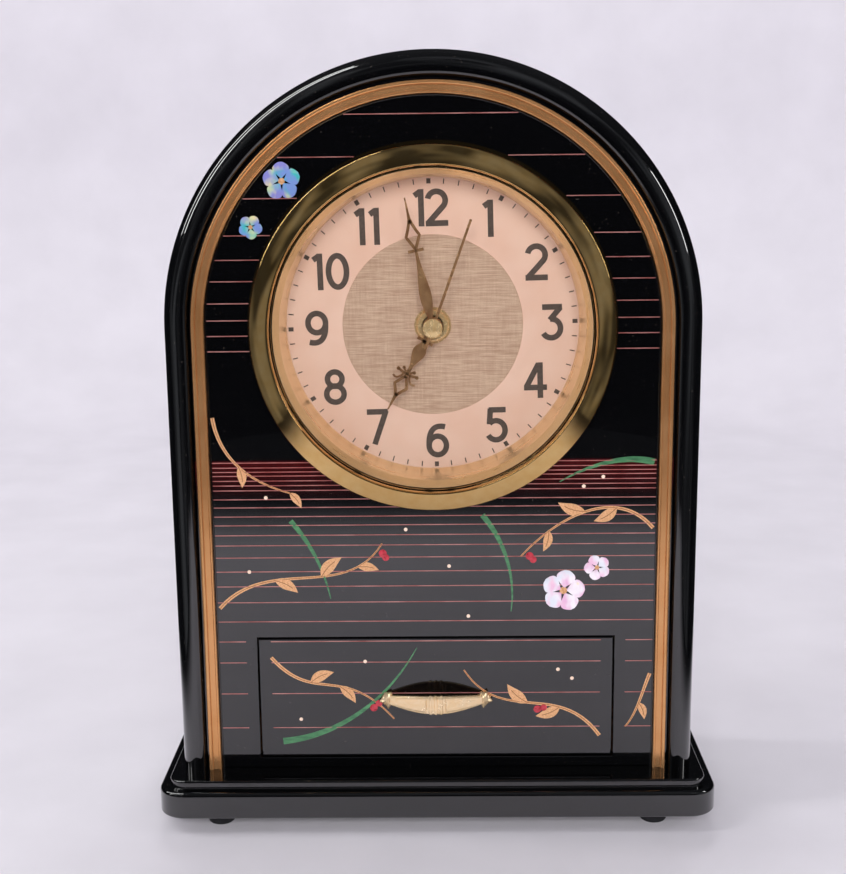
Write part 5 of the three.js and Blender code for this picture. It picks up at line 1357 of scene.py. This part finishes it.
LAMPS = (
    ("front_lamp", (0, -1500, 700), (900, 600), 19, False),
    ("right_lamp", (1050, -280, 600), (90, 400), 1.0, True),
    ("left_near_lamp", (-820, -221, 999), (100, 1250), 3.1, True),
    ("left_far_lamp", (-846, 77, 999), (80, 1250), 2.5, True),
    ("back_lamp", (0, 950, 1050), (800, 300), 6, False),
)
LAMP_TARGET = (0, 0, 150)
for name, position, size, power, mirrored in LAMPS:
    lamp = bpy.data.lights.new(name, "AREA")
    lamp.shape = "RECTANGLE"
    lamp.size = size[0] * MM
    lamp.size_y = size[1] * MM
    lamp.energy = power
    holder = bpy.data.objects.new(name, lamp)
    holder.matrix_world = aim(position, LAMP_TARGET)
    holder.visible_camera = False
    holder.visible_glossy = mirrored
    bpy.context.scene.collection.objects.link(holder)
# The room is dim, with an uneven ring of light round the camera and a faint glow overhead.
world = bpy.data.worlds.new("dim_room")
world.use_nodes = True
tree = world.node_tree
tree.nodes.clear()
direction = add_node(tree, "TexCoord", {}).outputs["Generated"]
ways = add_node(tree, "SeparateXYZ", {"Vector": direction})
inner = add_node(tree, "MapRange", {"Value": ways.outputs["Y"], "From Min": -0.96, "From Max": -0.7})
outer = add_node(tree, "MapRange", {"Value": ways.outputs["Y"], "From Min": -0.1, "From Max": -0.45})
ring = add_node(tree, "Math", {0: inner, 1: outer}, operation="MULTIPLY")
shapes = add_node(tree, "TexNoise", {"Vector": direction, "Scale": 3.5, "Detail": 1.0})
uneven = add_node(tree, "MapRange",
                  {"Value": shapes, "From Min": 0.38, "From Max": 0.62, "To Min": 0.2, "To Max": 1.6})
ring = add_node(tree, "Math", {0: ring, 1: uneven}, operation="MULTIPLY")
above = add_node(tree, "MapRange",
                 {"Value": ways.outputs["Z"], "From Min": 0.35, "From Max": 1.0,
                  "To Max": 0.3}, interpolation_type="SMOOTHSTEP")
glow = add_node(tree, "Math", {0: ring, 1: above}, operation="MAXIMUM")
dimness = add_node(tree, "Mix",
                   {0: glow, 6: linear("#1b1c1f"), 7: linear("#6c6e72")}, data_type="RGBA", clamp_factor=False)
room = add_node(tree, "Background", {"Color": dimness})
add_node(tree, "OutputWorld", {"Surface": room})
bpy.context.scene.world = world
bpy.context.scene.view_settings.view_transform = "Standard"

# Camera: at the photograph's viewing angle, a little above the dial and looking down on it.
CAMERA_PLACE = np.array([3.63, -592.66, 280.70])
CAMERA_YAW = math.radians(-0.818)
CAMERA_PITCH = math.radians(11.46)
CAMERA_ROLL = math.radians(-0.619)
camera_data = bpy.data.cameras.new("camera")
camera_data.sensor_width = 36
camera_data.lens = 57.1
camera_data.clip_start = 0.01
camera = bpy.data.objects.new("camera", camera_data)
ahead = [math.sin(CAMERA_YAW) * math.cos(CAMERA_PITCH), math.cos(CAMERA_YAW) * math.cos(CAMERA_PITCH),
         -math.sin(CAMERA_PITCH)]
camera.matrix_world = aim(CAMERA_PLACE, CAMERA_PLACE + ahead) @ Matrix.Rotation(CAMERA_ROLL, 4, "Z")
bpy.context.scene.collection.objects.link(camera)
bpy.context.scene.camera = camera
